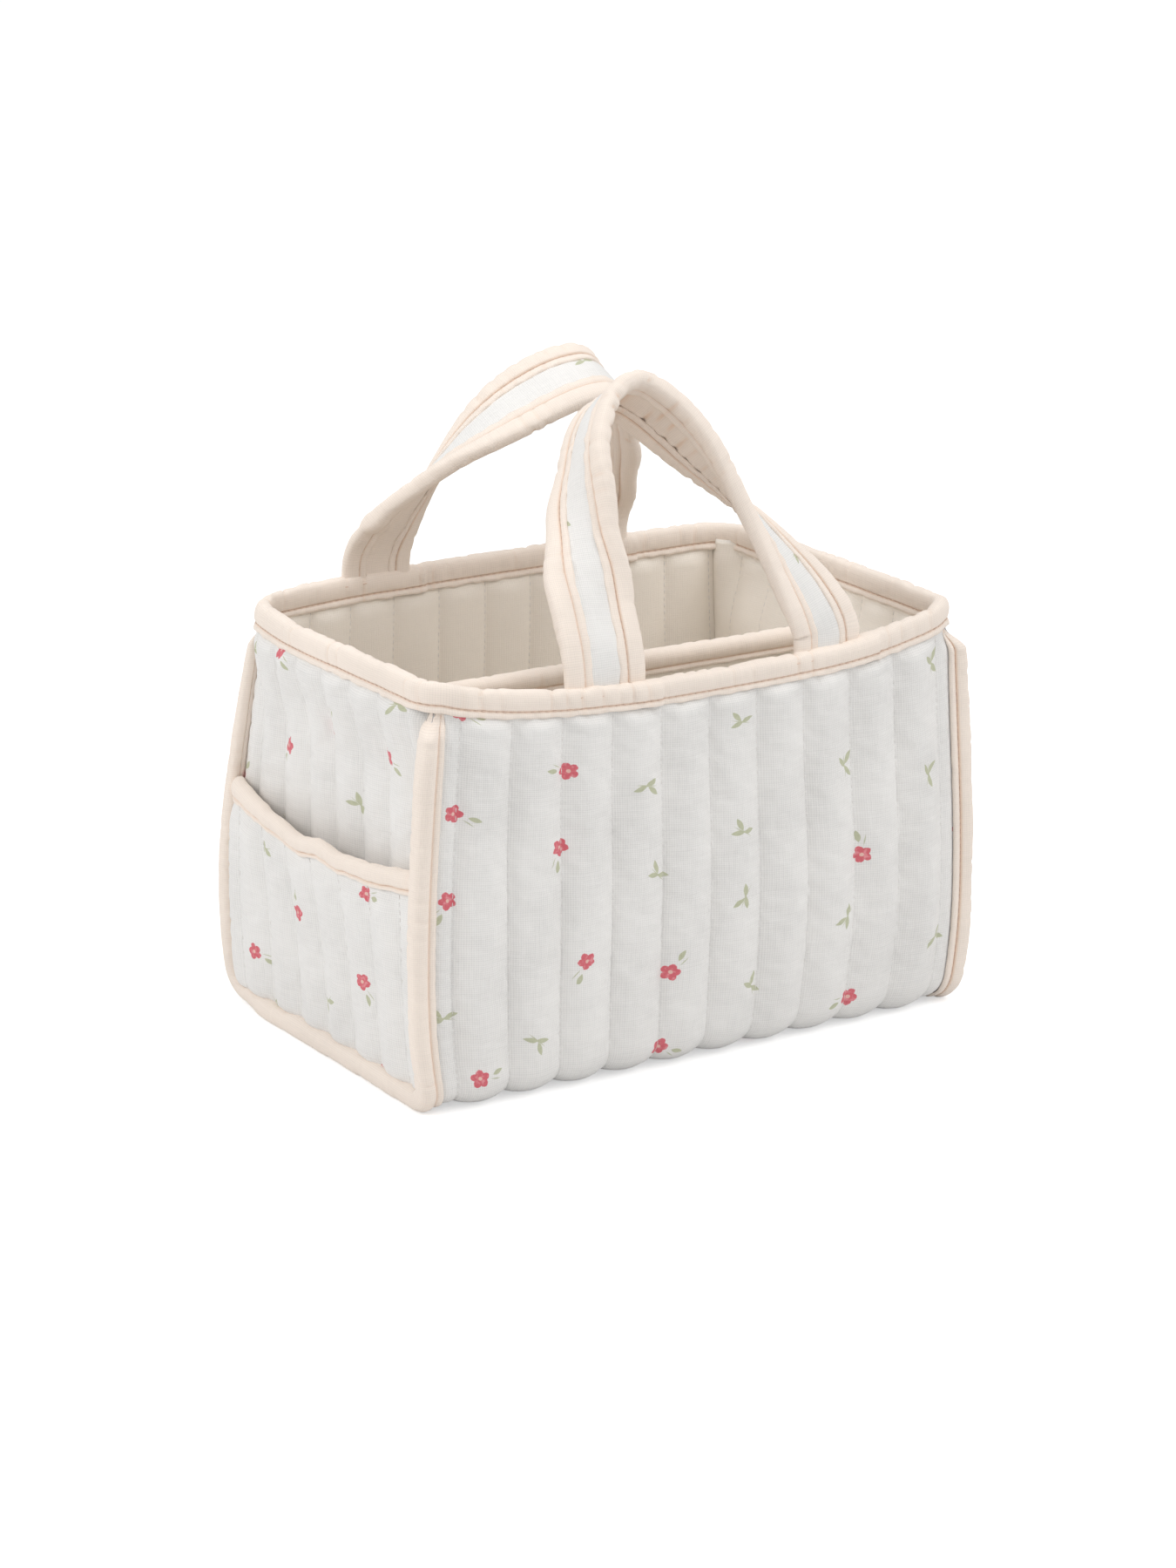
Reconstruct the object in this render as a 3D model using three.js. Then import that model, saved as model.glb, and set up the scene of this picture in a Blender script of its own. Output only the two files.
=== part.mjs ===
import * as THREE from 'three';

const { clamp, degToRad, lerp, smoothstep } = THREE.MathUtils;

// A quilted nursery caddy: a soft open box with bound edges, a pocket on each end,
// two looped carrying handles and a divider that lifts out.
// Millimetres, +Z up. X runs along the length, the front faces -Y,
// and the origin lies under the middle of the base.

// Box
const LENGTH = 280; // end seam to end seam
const DEPTH = 200; // front stitching plane to back stitching plane
const HEIGHT = 205; // floor to the top of the rim at its corners
const BASE_RADIUS = 13; // rounding from the long walls into the base

// Quilted cloth
const CHANNEL_PITCH = 26.5; // between neighbouring stitching lines
const LEAST_CHANNEL = 5; // narrowest channel left beside a border
const COVER_CLOTH = 1; // at a stitching line
const COVER_PUFF = 4; // crest of a channel above its stitching lines
const WADDING = 2.4;
const LINING_CLOTH = 0.9;
const LINING_PUFF = 3;
const CLEARANCE = 0.3; // between pieces that lie on each other
const EASE = 0.6; // each side of an edge that a binding grips or a seam meets

// Give of the filled cloth box
const FRONT_DIP = 13; // how far the front rim hangs below its corners
const BACK_DIP = 0;
const RIM_BOW = 4; // how far the long rims bow out
const WALL_BELLY = 7; // how far the long walls belly out, most at a third of their height
const END_BELLY = 6; // the same for the end seams
const CORNER_TUCK = 12; // how far the back left corner draws in at the top

// Bindings: padded strips folded over an edge
const BINDING_PAD = 2.4; // each side of what the strip grips
const BINDING_LIP = 1; // the same at the stitched lips
const RIM_HEIGHT = 13;
const RIM_CROWN = 3; // thickness over the edge
const RIM_CORNER = 16; // plan radius at the middle of the wall
const RIM_OVERHANG = 8; // how far the end walls flare out to meet the rim
const RIM_GRIP = 5; // how far the walls reach into the rim
const FIN_REACH = 12.5; // end bindings, out from the end seam
const FIN_TOP_REACH = 8; // the same just under the rim
const FIN_CROWN = 1.5;
const FIN_STANDOFF = 2; // lips of the end bindings, out from the end seam
const TAPER_HEIGHT = 40; // height over which the walls and fins change shape below the rim

// End pockets
const MOUTH_HEIGHT = 118; // at the sides of the pocket
const MOUTH_SAG = 8; // lower in the middle
const POCKET_GAPE = 11; // how far the mouth stands off the end wall
const POCKET_BINDING = 12;
const POCKET_CROWN = 2;
const POCKET_PAD = 1.8; // padding of its binding, each side
const POCKET_PUFF = 3.5;

// Handles
const STRAP_WIDTH = 46;
const STRAP_THICKNESS = 10; // over the edge bindings
const STRAP_ROLL = 14; // width of an edge binding
const STRAP_CROWN = 2.2;
const STRAP_SPACING = 124; // between the middles of a handle's feet
const FRONT_SHIFT = 8; // how far the front handle is sewn right of the middle
const LIFT_GAP = 1; // between the handles and the divider as it lifts out

// Lines of the two handles, each in its own leaning plane
const FRONT_LEAN = 34; // degrees in from upright, less where the divider needs the room
const FRONT_RISE = 130; // from the feet to the middle of the strap at its top
const FRONT_TOP = -10; // its top, right of the middle of its feet
const FRONT_LEFT_PULL = 60; // how far this leg runs on straight from its foot
const FRONT_LEFT_BEND = 28; // how far the top runs on level before this leg
const FRONT_LEFT_TWIST = 0.5; // share of the rise over which this leg turns from facing out to facing up
const FRONT_RIGHT_PULL = 10;
const FRONT_RIGHT_BEND = 25;
const FRONT_RIGHT_TWIST = 0.9;
const BACK_LEAN = 25;
const BACK_RISE = 100;
const BACK_TOP = 36;
const BACK_LEFT_PULL = 28;
const BACK_LEFT_BEND = 44;
const BACK_LEFT_TWIST = 1;
const BACK_RIGHT_PULL = 30;
const BACK_RIGHT_BEND = 28;
const BACK_RIGHT_TWIST = 0.8;

// Divider
const DIVIDER_HEIGHT = 175; // floor to the top of its binding
const DIVIDER_PLACE = -4; // its middle, from the middle of the box
const DIVIDER_PUFF = 2.6;
const DIVIDER_BINDING = 12;
const DIVIDER_CROWN = 2.5;
const TAPE_WIDTH = 20;
const TAPE_THICKNESS = 1.2;
const TAPE_LOW = 40;
const TAPE_HIGH = 145;

// Facets
const CHANNEL_STEPS = 4;
const LINING_STEPS = 3;
const ARC_STEPS = 3;
const ROLL_STEPS = 4;
const LEG_STEPS = 12;

// Sizes that follow
const HALF_LENGTH = LENGTH / 2;
const HALF_DEPTH = DEPTH / 2;
const WALL = COVER_CLOTH + WADDING + LINING_CLOTH + 2 * CLEARANCE;
const SLOT = WALL + 2 * EASE; // grip of the rim and end bindings
const BASE_PLANE = COVER_PUFF * Math.sin(Math.PI / CHANNEL_STEPS); // channels pressed flat on the floor
const RIM_BOTTOM = HEIGHT - RIM_HEIGHT;
const WALL_TOP = RIM_BOTTOM + RIM_GRIP;
const RIM_HALF_LENGTH = HALF_LENGTH - WALL / 2 + RIM_OVERHANG;
const RIM_HALF_DEPTH = HALF_DEPTH - WALL / 2;
const ROLL_HALF = SLOT / 2 + BINDING_PAD;
const END_HALF = HALF_DEPTH - WALL - CLEARANCE;
const POCKET_WALL = COVER_CLOTH + CLEARANCE + LINING_CLOTH;
const POCKET_HALF = HALF_DEPTH - WALL / 2 - ROLL_HALF - EASE;
const POCKET_BOTTOM = BASE_PLANE + WALL / 2 + ROLL_HALF + EASE;
const POCKET_SEAT = HALF_LENGTH + COVER_PUFF + EASE + POCKET_WALL; // outer stitching plane
const TAPE_SEAT = HALF_LENGTH - WALL - LINING_PUFF - CLEARANCE;
const DIVIDER_HALF_LENGTH = TAPE_SEAT - 2 * (TAPE_THICKNESS + CLEARANCE);
const DIVIDER_WALL = 2 * LINING_CLOTH + 2 * CLEARANCE + WADDING;
const DIVIDER_HALF = DIVIDER_WALL / 2 + DIVIDER_PUFF;
const DIVIDER_BOTTOM = BASE_PLANE + WALL + LINING_PUFF + CLEARANCE;

// Cloths
const PRINT = { color: 0xece9e5, roughness: 0.95, metalness: 0 };
const BLUSH = { color: 0xf3e2d6, roughness: 0.9, metalness: 0 };
const LINING = { color: 0xeedccb, roughness: 0.92, metalness: 0 };
const FILLING = { color: 0xf8f7f3, roughness: 1, metalness: 0 };
const TAPE = { color: 0xf1e6dc, roughness: 0.85, metalness: 0 };

const caddy = new THREE.Group();

function add(name, geometry, cloth) {
  const mesh = new THREE.Mesh(geometry, new THREE.MeshStandardMaterial(cloth));
  mesh.name = name;
  caddy.add(mesh);
}

// Where a point of the tidy box lies once the cloth has given way.
function slump(x, y, z) {
  const across = x / HALF_LENGTH;
  const deep = y / HALF_DEPTH;
  const up = clamp(z / HEIGHT, 0, 1);
  const belly = (27 / 4) * up * (1 - up) ** 2;
  const span = Math.max(0, 1 - Math.abs(across) ** 3);
  const dip = lerp(BACK_DIP, FRONT_DIP, clamp((1 - deep) / 2, 0, 1));
  const tuck = CORNER_TUCK * clamp(-across, 0, 1) ** 3 * clamp(deep, 0, 1) ** 2 * up * up;
  return new THREE.Vector3(
    x + END_BELLY * across * deep * deep * belly + tuck,
    y + deep * span * (WALL_BELLY * belly + RIM_BOW * up * up) - tuck,
    z - dip * span * up * up,
  );
}

// Skins a run of sections into one closed solid. A section is two chains of points, outer and inner.
function skin(sections, joined = false) {
  const rings = sections.map(({ outer, inner }) => [...outer, ...inner.toReversed()]);
  const split = sections[0].outer.length;
  const count = rings[0].length;
  const points = rings.flat();
  const index = [];
  const runs = joined ? rings.length : rings.length - 1;
  for (let i = 0; i < runs; i += 1) {
    const here = i * count;
    const next = ((i + 1) % rings.length) * count;
    for (let j = 0; j < count; j += 1) {
      const k = (j + 1) % count;
      const [a, b, c, d] = [here + j, here + k, next + k, next + j];
      // A twisted strip is cut along its shorter diagonals, so that layers on each other stay parallel.
      if (points[a].distanceTo(points[c]) < points[b].distanceTo(points[d])) {
        index.push(a, b, c, a, c, d);
      } else {
        index.push(a, b, d, b, c, d);
      }
    }
  }
  if (!joined) {
    const last = points.length - count;
    for (const [a, b, c] of capFaces(rings[0], split)) {
      index.push(a, b, c);
    }
    for (const [a, b, c] of capFaces(rings.at(-1), split)) {
      index.push(last + a, last + c, last + b);
    }
  }
  if (signedVolume(points, index) < 0) {
    index.reverse();
  }
  const geometry = new THREE.BufferGeometry().setFromPoints(points);
  geometry.setIndex(index);
  geometry.computeVertexNormals();
  return geometry;
}

// Triangles that close one end of a skin, zipped between its two chains.
function capFaces(ring, split) {
  const shares = (chain) => {
    const lengths = chain.map((point, i) => (i ? point.distanceTo(chain[i - 1]) : 0));
    const total = lengths.reduce((sum, length) => sum + length, 0);
    let run = 0;
    return lengths.map((length) => (run += length) / total);
  };
  const outer = shares(ring.slice(0, split));
  const inner = shares(ring.slice(split).reverse());
  const innerIndex = (j) => ring.length - 1 - j;
  const faces = [];
  let i = 0;
  let j = 0;
  while (i < outer.length - 1 || j < inner.length - 1) {
    const stepOuter = j === inner.length - 1 || (i < outer.length - 1 && outer[i + 1] <= inner[j + 1]);
    if (stepOuter) {
      faces.push([i + 1, i, innerIndex(j)]);
      i += 1;
    } else {
      faces.push([innerIndex(j), innerIndex(j + 1), i]);
      j += 1;
    }
  }
  return faces;
}

function signedVolume(points, index) {
  let volume = 0;
  for (let i = 0; i < index.length; i += 3) {
    const [a, b, c] = [points[index[i]], points[index[i + 1]], points[index[i + 2]]];
    volume += a.dot(b.clone().cross(c)) / 6;
  }
  return volume;
}

// Stitching lines across a panel: a pitch apart from its middle, and one on each border.
function stitchingLines(border) {
  const count = Math.floor((border - LEAST_CHANNEL) / CHANNEL_PITCH);
  const lines = [-border];
  for (let k = -count; k <= count; k += 1) {
    lines.push(k * CHANNEL_PITCH);
  }
  lines.push(border);
  return lines;
}

// Columns of points across a panel, with the share of a full puff that each one has.
function quiltColumns(border, edge, steps) {
  const lines = stitchingLines(border);
  const columns = [];
  if (edge > border) {
    columns.push({ u: -edge, puff: 0 });
  }
  for (let i = 0; i < lines.length - 1; i += 1) {
    const width = lines[i + 1] - lines[i];
    const fullness = width > CHANNEL_PITCH / 2 ? Math.min(1, width / CHANNEL_PITCH) : 0;
    for (let step = 0; step < steps; step += 1) {
      const share = step / steps;
      columns.push({
        u: lines[i] + width * share,
        puff: fullness * Math.sin(Math.PI * share),
      });
    }
  }
  columns.push({ u: border, puff: 0 });
  if (edge > border) {
    columns.push({ u: edge, puff: 0 });
  }
  return columns;
}

// Draws the outermost columns in, so that a row ends at a nearer edge than the others.
function squeeze(u, full, edge) {
  const knee = edge - LEAST_CHANNEL;
  const beyond = Math.abs(u) - knee;
  if (beyond <= 0) {
    return u;
  }
  return Math.sign(u) * (knee + (beyond * (edge - knee)) / (full - knee));
}

// The layers of a quilted panel, outermost first. Depth runs inwards from the outer stitching plane.
// A layer's outward and inward puffs stand up between the stitching lines.
function quilt(layers, stations, border, edge, place) {
  let depth = 0;
  return layers.map(({ thickness, puffOut = 0, puffIn = 0, steps }) => {
    const near = depth;
    const far = near + thickness;
    depth = far + CLEARANCE;
    const outerColumns = quiltColumns(border, edge, puffOut ? steps : 1);
    const innerColumns = quiltColumns(border, edge, puffIn ? steps : 1);
    return skin(stations.map((station) => ({
      outer: outerColumns.map(({ u, puff }) => place(station, u, near - puff * puffOut * station.puff)),
      inner: innerColumns.map(({ u, puff }) => place(station, u, far + puff * puffIn * station.puff)),
    })));
  });
}

// Section of a folded binding: a runs from its lips to its fold and b across the edge that it grips.
function bindingSection({ lips, reach, crown, slot, half }) {
  const grip = slot / 2;
  const outer = [[lips, -grip - BINDING_LIP]];
  for (let i = 0; i <= ROLL_STEPS; i += 1) {
    const turn = Math.PI * (i / ROLL_STEPS - 0.5);
    outer.push([reach - half + half * Math.cos(turn), half * Math.sin(turn)]);
  }
  outer.push([lips, grip + BINDING_LIP]);
  const inner = [[lips, -grip], [reach - crown, -grip], [reach - crown, grip], [lips, grip]];
  return { outer, inner };
}

// Runs a binding along its stations.
function bind(stations, section, place, joined = false) {
  return skin(stations.map((station) => {
    const { outer, inner } = bindingSection(section(station));
    return {
      outer: outer.map(([a, b]) => place(station, a, b)),
      inner: inner.map(([a, b]) => place(station, a, b)),
    };
  }), joined);
}

const finReach = (z) => lerp(FIN_REACH, FIN_TOP_REACH, smoothstep(z, RIM_BOTTOM - TAPER_HEIGHT, RIM_BOTTOM));

// Rows down a wall, from inside the rim to where the base rounding starts.
function wallRows() {
  const roundingTop = BASE_PLANE + BASE_RADIUS;
  return [
    { z: WALL_TOP, puff: 0, tucked: true },
    { z: RIM_BOTTOM, puff: 0, tucked: true },
    { z: RIM_BOTTOM - CLEARANCE, puff: 0.15, tucked: false },
    { z: RIM_BOTTOM - TAPER_HEIGHT / 4, puff: 0.9, tucked: false },
    { z: (RIM_BOTTOM + roundingTop) / 2, puff: 1, tucked: false },
  ];
}

// Turns of the base rounding, from the wall to the base.
function roundingTurns() {
  return Array.from({ length: ARC_STEPS + 1 }, (_, i) => (Math.PI / 2) * (i / ARC_STEPS));
}

// Stations down the front, under the base and up the back. The normal points into the box.
function wrapStations() {
  const front = wallRows().map((row) => ({ ...row, y: -HALF_DEPTH, ny: 1, nz: 0 }));
  for (const turn of roundingTurns()) {
    front.push({
      y: -HALF_DEPTH + BASE_RADIUS * (1 - Math.cos(turn)),
      z: BASE_PLANE + BASE_RADIUS * (1 - Math.sin(turn)),
      ny: Math.cos(turn),
      nz: Math.sin(turn),
      puff: 1,
      tucked: false,
    });
  }
  const back = front.toReversed().map((station) => ({ ...station, y: -station.y, ny: -station.ny }));
  return [...front, ...back];
}

const WALL_LAYERS = [
  { thickness: COVER_CLOTH, puffOut: COVER_PUFF, steps: CHANNEL_STEPS },
  { thickness: WADDING },
  { thickness: LINING_CLOTH, puffIn: LINING_PUFF, steps: LINING_STEPS },
];

// Front wall, base and back wall in one piece. Its side edges stand out beyond the end seams as fins.
function addWrap() {
  const finEdge = (z) => HALF_LENGTH + finReach(z) - FIN_CROWN - CLEARANCE;
  const full = finEdge(0);
  const place = ({ y, z, ny, nz, tucked }, u, depth) => {
    const edge = tucked ? RIM_HALF_LENGTH - RIM_CORNER : finEdge(z);
    return slump(squeeze(u, full, edge), y + ny * depth, Math.max(0, z + nz * depth));
  };
  const [cover, wadding, lining] = quilt(WALL_LAYERS, wrapStations(), HALF_LENGTH, full, place);
  add('wrap_cover', cover, PRINT);
  add('wrap_wadding', wadding, FILLING);
  add('wrap_lining', lining, LINING);
}

// How far an end wall flares out to meet the overhanging rim.
function endFlare(y, z) {
  const straight = RIM_HALF_DEPTH - RIM_CORNER;
  const rise = smoothstep(z, RIM_BOTTOM - TAPER_HEIGHT, RIM_BOTTOM - CLEARANCE);
  return RIM_OVERHANG * rise * (1 - smoothstep(Math.abs(y), straight, POCKET_HALF));
}

// Rows down an end panel. Its lower corners follow the rounding inside the wrap.
function endRows(half, bottom, rows) {
  const radius = BASE_PLANE + BASE_RADIUS - bottom;
  const straight = rows.map((row) => ({ ...row, edge: row.tucked ? RIM_HALF_DEPTH - RIM_CORNER : half }));
  const rounded = roundingTurns().map((turn) => ({
    z: bottom + radius * (1 - Math.sin(turn)),
    puff: Math.cos(turn),
    edge: half - radius * (1 - Math.cos(turn)),
  }));
  return [...straight, ...rounded];
}

function addEnd(name, side) {
  const rows = endRows(END_HALF, BASE_PLANE + WALL + CLEARANCE, wallRows());
  const place = ({ z, edge }, u, depth) => {
    const y = squeeze(u, END_HALF, edge);
    return slump(side * (HALF_LENGTH + endFlare(y, z) - depth), y, z);
  };
  const [cover, wadding, lining] = quilt(WALL_LAYERS, rows, END_HALF, END_HALF, place);
  add(`${name}_end_cover`, cover, PRINT);
  add(`${name}_end_wadding`, wadding, FILLING);
  add(`${name}_end_lining`, lining, LINING);
}

// Padded strip over the fin, down the front edge, along the base and up the back edge.
function addEndBinding(name, side) {
  const stations = wrapStations().filter(({ tucked }) => !tucked);
  const section = ({ z }) => (
    { lips: FIN_STANDOFF, reach: finReach(z), crown: FIN_CROWN, slot: SLOT, half: ROLL_HALF }
  );
  const place = ({ y, z, ny, nz }, a, b) => {
    const depth = WALL / 2 + b;
    return slump(side * (HALF_LENGTH + a), y + ny * depth, Math.max(0, z + nz * depth));
  };
  add(`${name}_end_binding`, bind(stations, section, place), BLUSH);
}

// Pocket over the lower part of an end wall, standing off it towards a sagging mouth.
function addPocket(name, side) {
  const wallTop = MOUTH_HEIGHT - POCKET_CROWN - CLEARANCE;
  const bindingBottom = MOUTH_HEIGHT - POCKET_BINDING;
  const rows = endRows(POCKET_HALF, POCKET_BOTTOM, [
    { z: wallTop, puff: 0 },
    { z: bindingBottom - CLEARANCE, puff: 0.1 },
    { z: bindingBottom - POCKET_BINDING, puff: 0.9 },
  ]);
  const drape = (y, z, depth) => {
    const rise = clamp((z - POCKET_BOTTOM) / (MOUTH_HEIGHT - POCKET_BOTTOM), 0, 1);
    const across = y / POCKET_HALF;
    const slack = (1 - across * across) * rise * rise;
    return slump(side * (POCKET_SEAT + POCKET_GAPE * slack - depth), y, z - MOUTH_SAG * slack);
  };
  const place = ({ z, edge }, u, depth) => drape(squeeze(u, POCKET_HALF, edge), z, depth);
  const layers = [
    { thickness: COVER_CLOTH, puffOut: POCKET_PUFF, steps: CHANNEL_STEPS },
    { thickness: LINING_CLOTH },
  ];
  const [panel, lining] = quilt(layers, rows, POCKET_HALF, POCKET_HALF, place);
  add(`${name}_pocket_panel`, panel, PRINT);
  add(`${name}_pocket_lining`, lining, LINING);

  const slot = POCKET_WALL + 2 * EASE;
  const section = () => (
    { lips: 0, reach: POCKET_BINDING, crown: POCKET_CROWN, slot, half: slot / 2 + POCKET_PAD }
  );
  const mouth = bind(
    stitchingLines(POCKET_HALF),
    section,
    (y, a, b) => drape(y, bindingBottom + a, POCKET_WALL / 2 + b),
  );
  add(`${name}_pocket_binding`, mouth, BLUSH);
}

// Padded strip over the whole top edge.
function addRim() {
  const alongX = stitchingLines(RIM_HALF_LENGTH - RIM_CORNER);
  const alongY = stitchingLines(RIM_HALF_DEPTH - RIM_CORNER);
  const sides = [
    { nx: 0, ny: -1, run: alongX },
    { nx: 1, ny: 0, run: alongY },
    { nx: 0, ny: 1, run: alongX.toReversed() },
    { nx: -1, ny: 0, run: alongY.toReversed() },
  ];
  const stations = sides.flatMap(({ nx, ny, run }, i) => {
    const straight = run.map((along) => ({
      x: nx ? nx * RIM_HALF_LENGTH : along,
      y: ny ? ny * RIM_HALF_DEPTH : along,
      nx,
      ny,
    }));
    const next = sides[(i + 1) % sides.length];
    const cornerX = (nx + next.nx) * (RIM_HALF_LENGTH - RIM_CORNER);
    const cornerY = (ny + next.ny) * (RIM_HALF_DEPTH - RIM_CORNER);
    const corner = roundingTurns().slice(1, -1).map((turn) => {
      const cx = nx * Math.cos(turn) + next.nx * Math.sin(turn);
      const cy = ny * Math.cos(turn) + next.ny * Math.sin(turn);
      return { x: cornerX + RIM_CORNER * cx, y: cornerY + RIM_CORNER * cy, nx: cx, ny: cy };
    });
    return [...straight, ...corner];
  });
  const section = () => ({ lips: 0, reach: RIM_HEIGHT, crown: RIM_CROWN, slot: SLOT, half: ROLL_HALF });
  const place = ({ x, y, nx, ny }, a, b) => slump(x + nx * b, y + ny * b, RIM_BOTTOM + a);
  add('rim_binding', bind(stations, section, place, true), BLUSH);
}

// The sewn end of a strap, caught in the rim above the wall's edge.
function addTab(name, side, x) {
  const low = WALL_TOP + CLEARANCE;
  const high = HEIGHT - RIM_CROWN - CLEARANCE;
  const stations = [-STRAP_WIDTH / 2, 0, STRAP_WIDTH / 2].map((across) => x + across);
  const corner = (along, depth, z) => slump(along, side * (RIM_HALF_DEPTH + depth), z);
  const tab = skin(stations.map((along) => ({
    outer: [corner(along, WALL / 2, low), corner(along, WALL / 2, high)],
    inner: [corner(along, -WALL / 2, low), corner(along, -WALL / 2, high)],
  })));
  add(name, tab, BLUSH);
}

const rimTop = (side, x) => slump(x, side * RIM_HALF_DEPTH, HEIGHT).z;

// Line along which a handle folds where it leaves the rim, and how far the handle leans in from upright.
function handleHinge({ side, shift, rise, lean }) {
  const bend = STRAP_THICKNESS / 2;
  const outerEdge = (STRAP_SPACING + STRAP_WIDTH) / 2;
  const y = Math.abs(slump(STRAP_SPACING / 2, side * RIM_HALF_DEPTH, HEIGHT).y);
  const z = Math.max(rimTop(side, shift - outerEdge), rimTop(side, shift + outerEdge)) + CLEARANCE + bend;
  const rollMiddle = STRAP_WIDTH / 2 - bend;
  const inset = y - side * DIVIDER_PLACE - DIVIDER_HALF - LIFT_GAP - bend;
  const reach = Math.hypot(rise, rollMiddle);
  const room = Math.asin(Math.min(1, inset / reach)) - Math.atan2(rollMiddle, rise);
  return { y, z, bend, lean: Math.min(degToRad(lean), room) };
}

// One leg from its foot to the top, in the plane of the handle. The foot ends in a round on the folding line.
function legStations(way, { rise, top }, { pull, level, twist }, bend) {
  const foot = (way * STRAP_SPACING) / 2;
  const line = new THREE.CubicBezierCurve(
    new THREE.Vector2(foot, 0),
    new THREE.Vector2(foot, pull),
    new THREE.Vector2(top + way * level, rise),
    new THREE.Vector2(top, rise),
  );
  const stations = [];
  for (let i = 0; i < ARC_STEPS; i += 1) {
    const turn = (Math.PI / 2) * ((i + 0.5) / ARC_STEPS);
    const sink = Math.cos(turn);
    stations.push({ x: foot, up: -bend * sink, tx: 0, ty: 1, swell: Math.sin(turn), sink, turned: 0 });
  }
  for (let i = 0; i <= LEG_STEPS; i += 1) {
    const point = line.getPointAt(i / LEG_STEPS);
    const along = line.getTangentAt(i / LEG_STEPS);
    const turned = (Math.PI / 2) * smoothstep(point.y / rise, 0, twist);
    stations.push({ x: point.x, up: point.y, tx: along.x, ty: along.y, swell: 1, sink: 0, turned });
  }
  return stations;
}

// Stations from the left foot over the top to the right foot. Each foot sinks to the rim under it.
function handleStations(handle) {
  const { side, shift, left, right } = handle;
  const { y, z, bend, lean } = handleHinge(handle);
  const rising = legStations(-1, handle, left, bend);
  const falling = legStations(1, handle, right, bend).slice(0, -1).toReversed();
  const legs = [...rising, ...falling.map((at) => ({ ...at, tx: -at.tx, ty: -at.ty }))];
  const upward = new THREE.Vector3(0, -side * Math.sin(lean), Math.cos(lean));
  const facing = new THREE.Vector3(0, side * Math.cos(lean), Math.sin(lean));
  const acrossX = new THREE.Vector3(1, 0, 0);
  return legs.map(({ x, up, tx, ty, swell, sink, turned }) => {
    const along = acrossX.clone().multiplyScalar(tx).addScaledVector(upward, ty);
    const outward = acrossX.clone().multiplyScalar(-ty).addScaledVector(upward, tx);
    const normal = facing.clone().multiplyScalar(Math.cos(turned)).addScaledVector(outward, Math.sin(turned));
    return {
      middle: new THREE.Vector3(shift + x, side * y, z).addScaledVector(upward, up),
      width: normal.clone().cross(along),
      normal: normal.clone().multiplyScalar(swell),
      drop: (point) => upward.clone().multiplyScalar(sink * (rimTop(side, point.x) - z + CLEARANCE + bend)),
    };
  });
}

// A handle: printed strip, wadding and backing strip, held along both edges by padded bindings.
function addHandle(name, handle) {
  const stations = handleStations(handle);
  const place = ({ middle, width, normal, drop }, a, b) => {
    const point = middle.clone().addScaledVector(width, a);
    return point.add(drop(point)).addScaledVector(normal, b);
  };
  const half = STRAP_WIDTH / 2;
  const lips = half - STRAP_ROLL;
  const edge = half - STRAP_CROWN - EASE;
  const columns = [-edge, -lips, lips, edge];
  const layer = (low, high) => skin(stations.map((station) => ({
    outer: columns.map((a) => place(station, a, high)),
    inner: columns.map((a) => place(station, a, low)),
  })));
  const coverLow = WADDING / 2 + CLEARANCE;
  const coverHigh = coverLow + COVER_CLOTH;
  add(`${name}_cover`, layer(coverLow, coverHigh), PRINT);
  add(`${name}_wadding`, layer(-WADDING / 2, WADDING / 2), FILLING);
  add(`${name}_backing`, layer(-coverHigh, -coverLow), BLUSH);

  const slot = 2 * (coverHigh + CLEARANCE);
  const section = () => ({ lips, reach: half, crown: STRAP_CROWN, slot, half: STRAP_THICKNESS / 2 });
  const inward = (station, a, b) => place(station, -handle.side * a, b);
  const outward = (station, a, b) => place(station, handle.side * a, b);
  add(`${name}_inner_binding`, bind(stations, section, inward), BLUSH);
  add(`${name}_outer_binding`, bind(stations, section, outward), BLUSH);
}

// The divider, which stands on the base and is held at both ends by tape.
function addDivider() {
  const wallTop = DIVIDER_HEIGHT - DIVIDER_CROWN - CLEARANCE;
  const bindingBottom = DIVIDER_HEIGHT - DIVIDER_BINDING;
  const rows = [
    { z: wallTop, puff: 0 },
    { z: bindingBottom - CLEARANCE, puff: 0.1 },
    { z: bindingBottom - DIVIDER_BINDING, puff: 1 },
    { z: DIVIDER_BOTTOM + DIVIDER_BINDING, puff: 1 },
    { z: DIVIDER_BOTTOM, puff: 0.1 },
  ];
  const layers = [
    { thickness: LINING_CLOTH, puffOut: DIVIDER_PUFF, steps: LINING_STEPS },
    { thickness: WADDING },
    { thickness: LINING_CLOTH, puffIn: DIVIDER_PUFF, steps: LINING_STEPS },
  ];
  const place = ({ z }, u, depth) => new THREE.Vector3(u, DIVIDER_PLACE + depth - DIVIDER_WALL / 2, z);
  const [front, wadding, back] = quilt(layers, rows, DIVIDER_HALF_LENGTH, DIVIDER_HALF_LENGTH, place);
  add('divider_front_face', front, LINING);
  add('divider_wadding', wadding, FILLING);
  add('divider_back_face', back, LINING);

  const slot = DIVIDER_WALL + 2 * EASE;
  const section = () => (
    { lips: 0, reach: DIVIDER_BINDING, crown: DIVIDER_CROWN, slot, half: slot / 2 + BINDING_PAD }
  );
  const binding = bind(
    [-DIVIDER_HALF_LENGTH, DIVIDER_HALF_LENGTH],
    section,
    (x, a, b) => new THREE.Vector3(x, DIVIDER_PLACE + b, bindingBottom + a),
  );
  add('divider_binding', binding, BLUSH);
}

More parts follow.
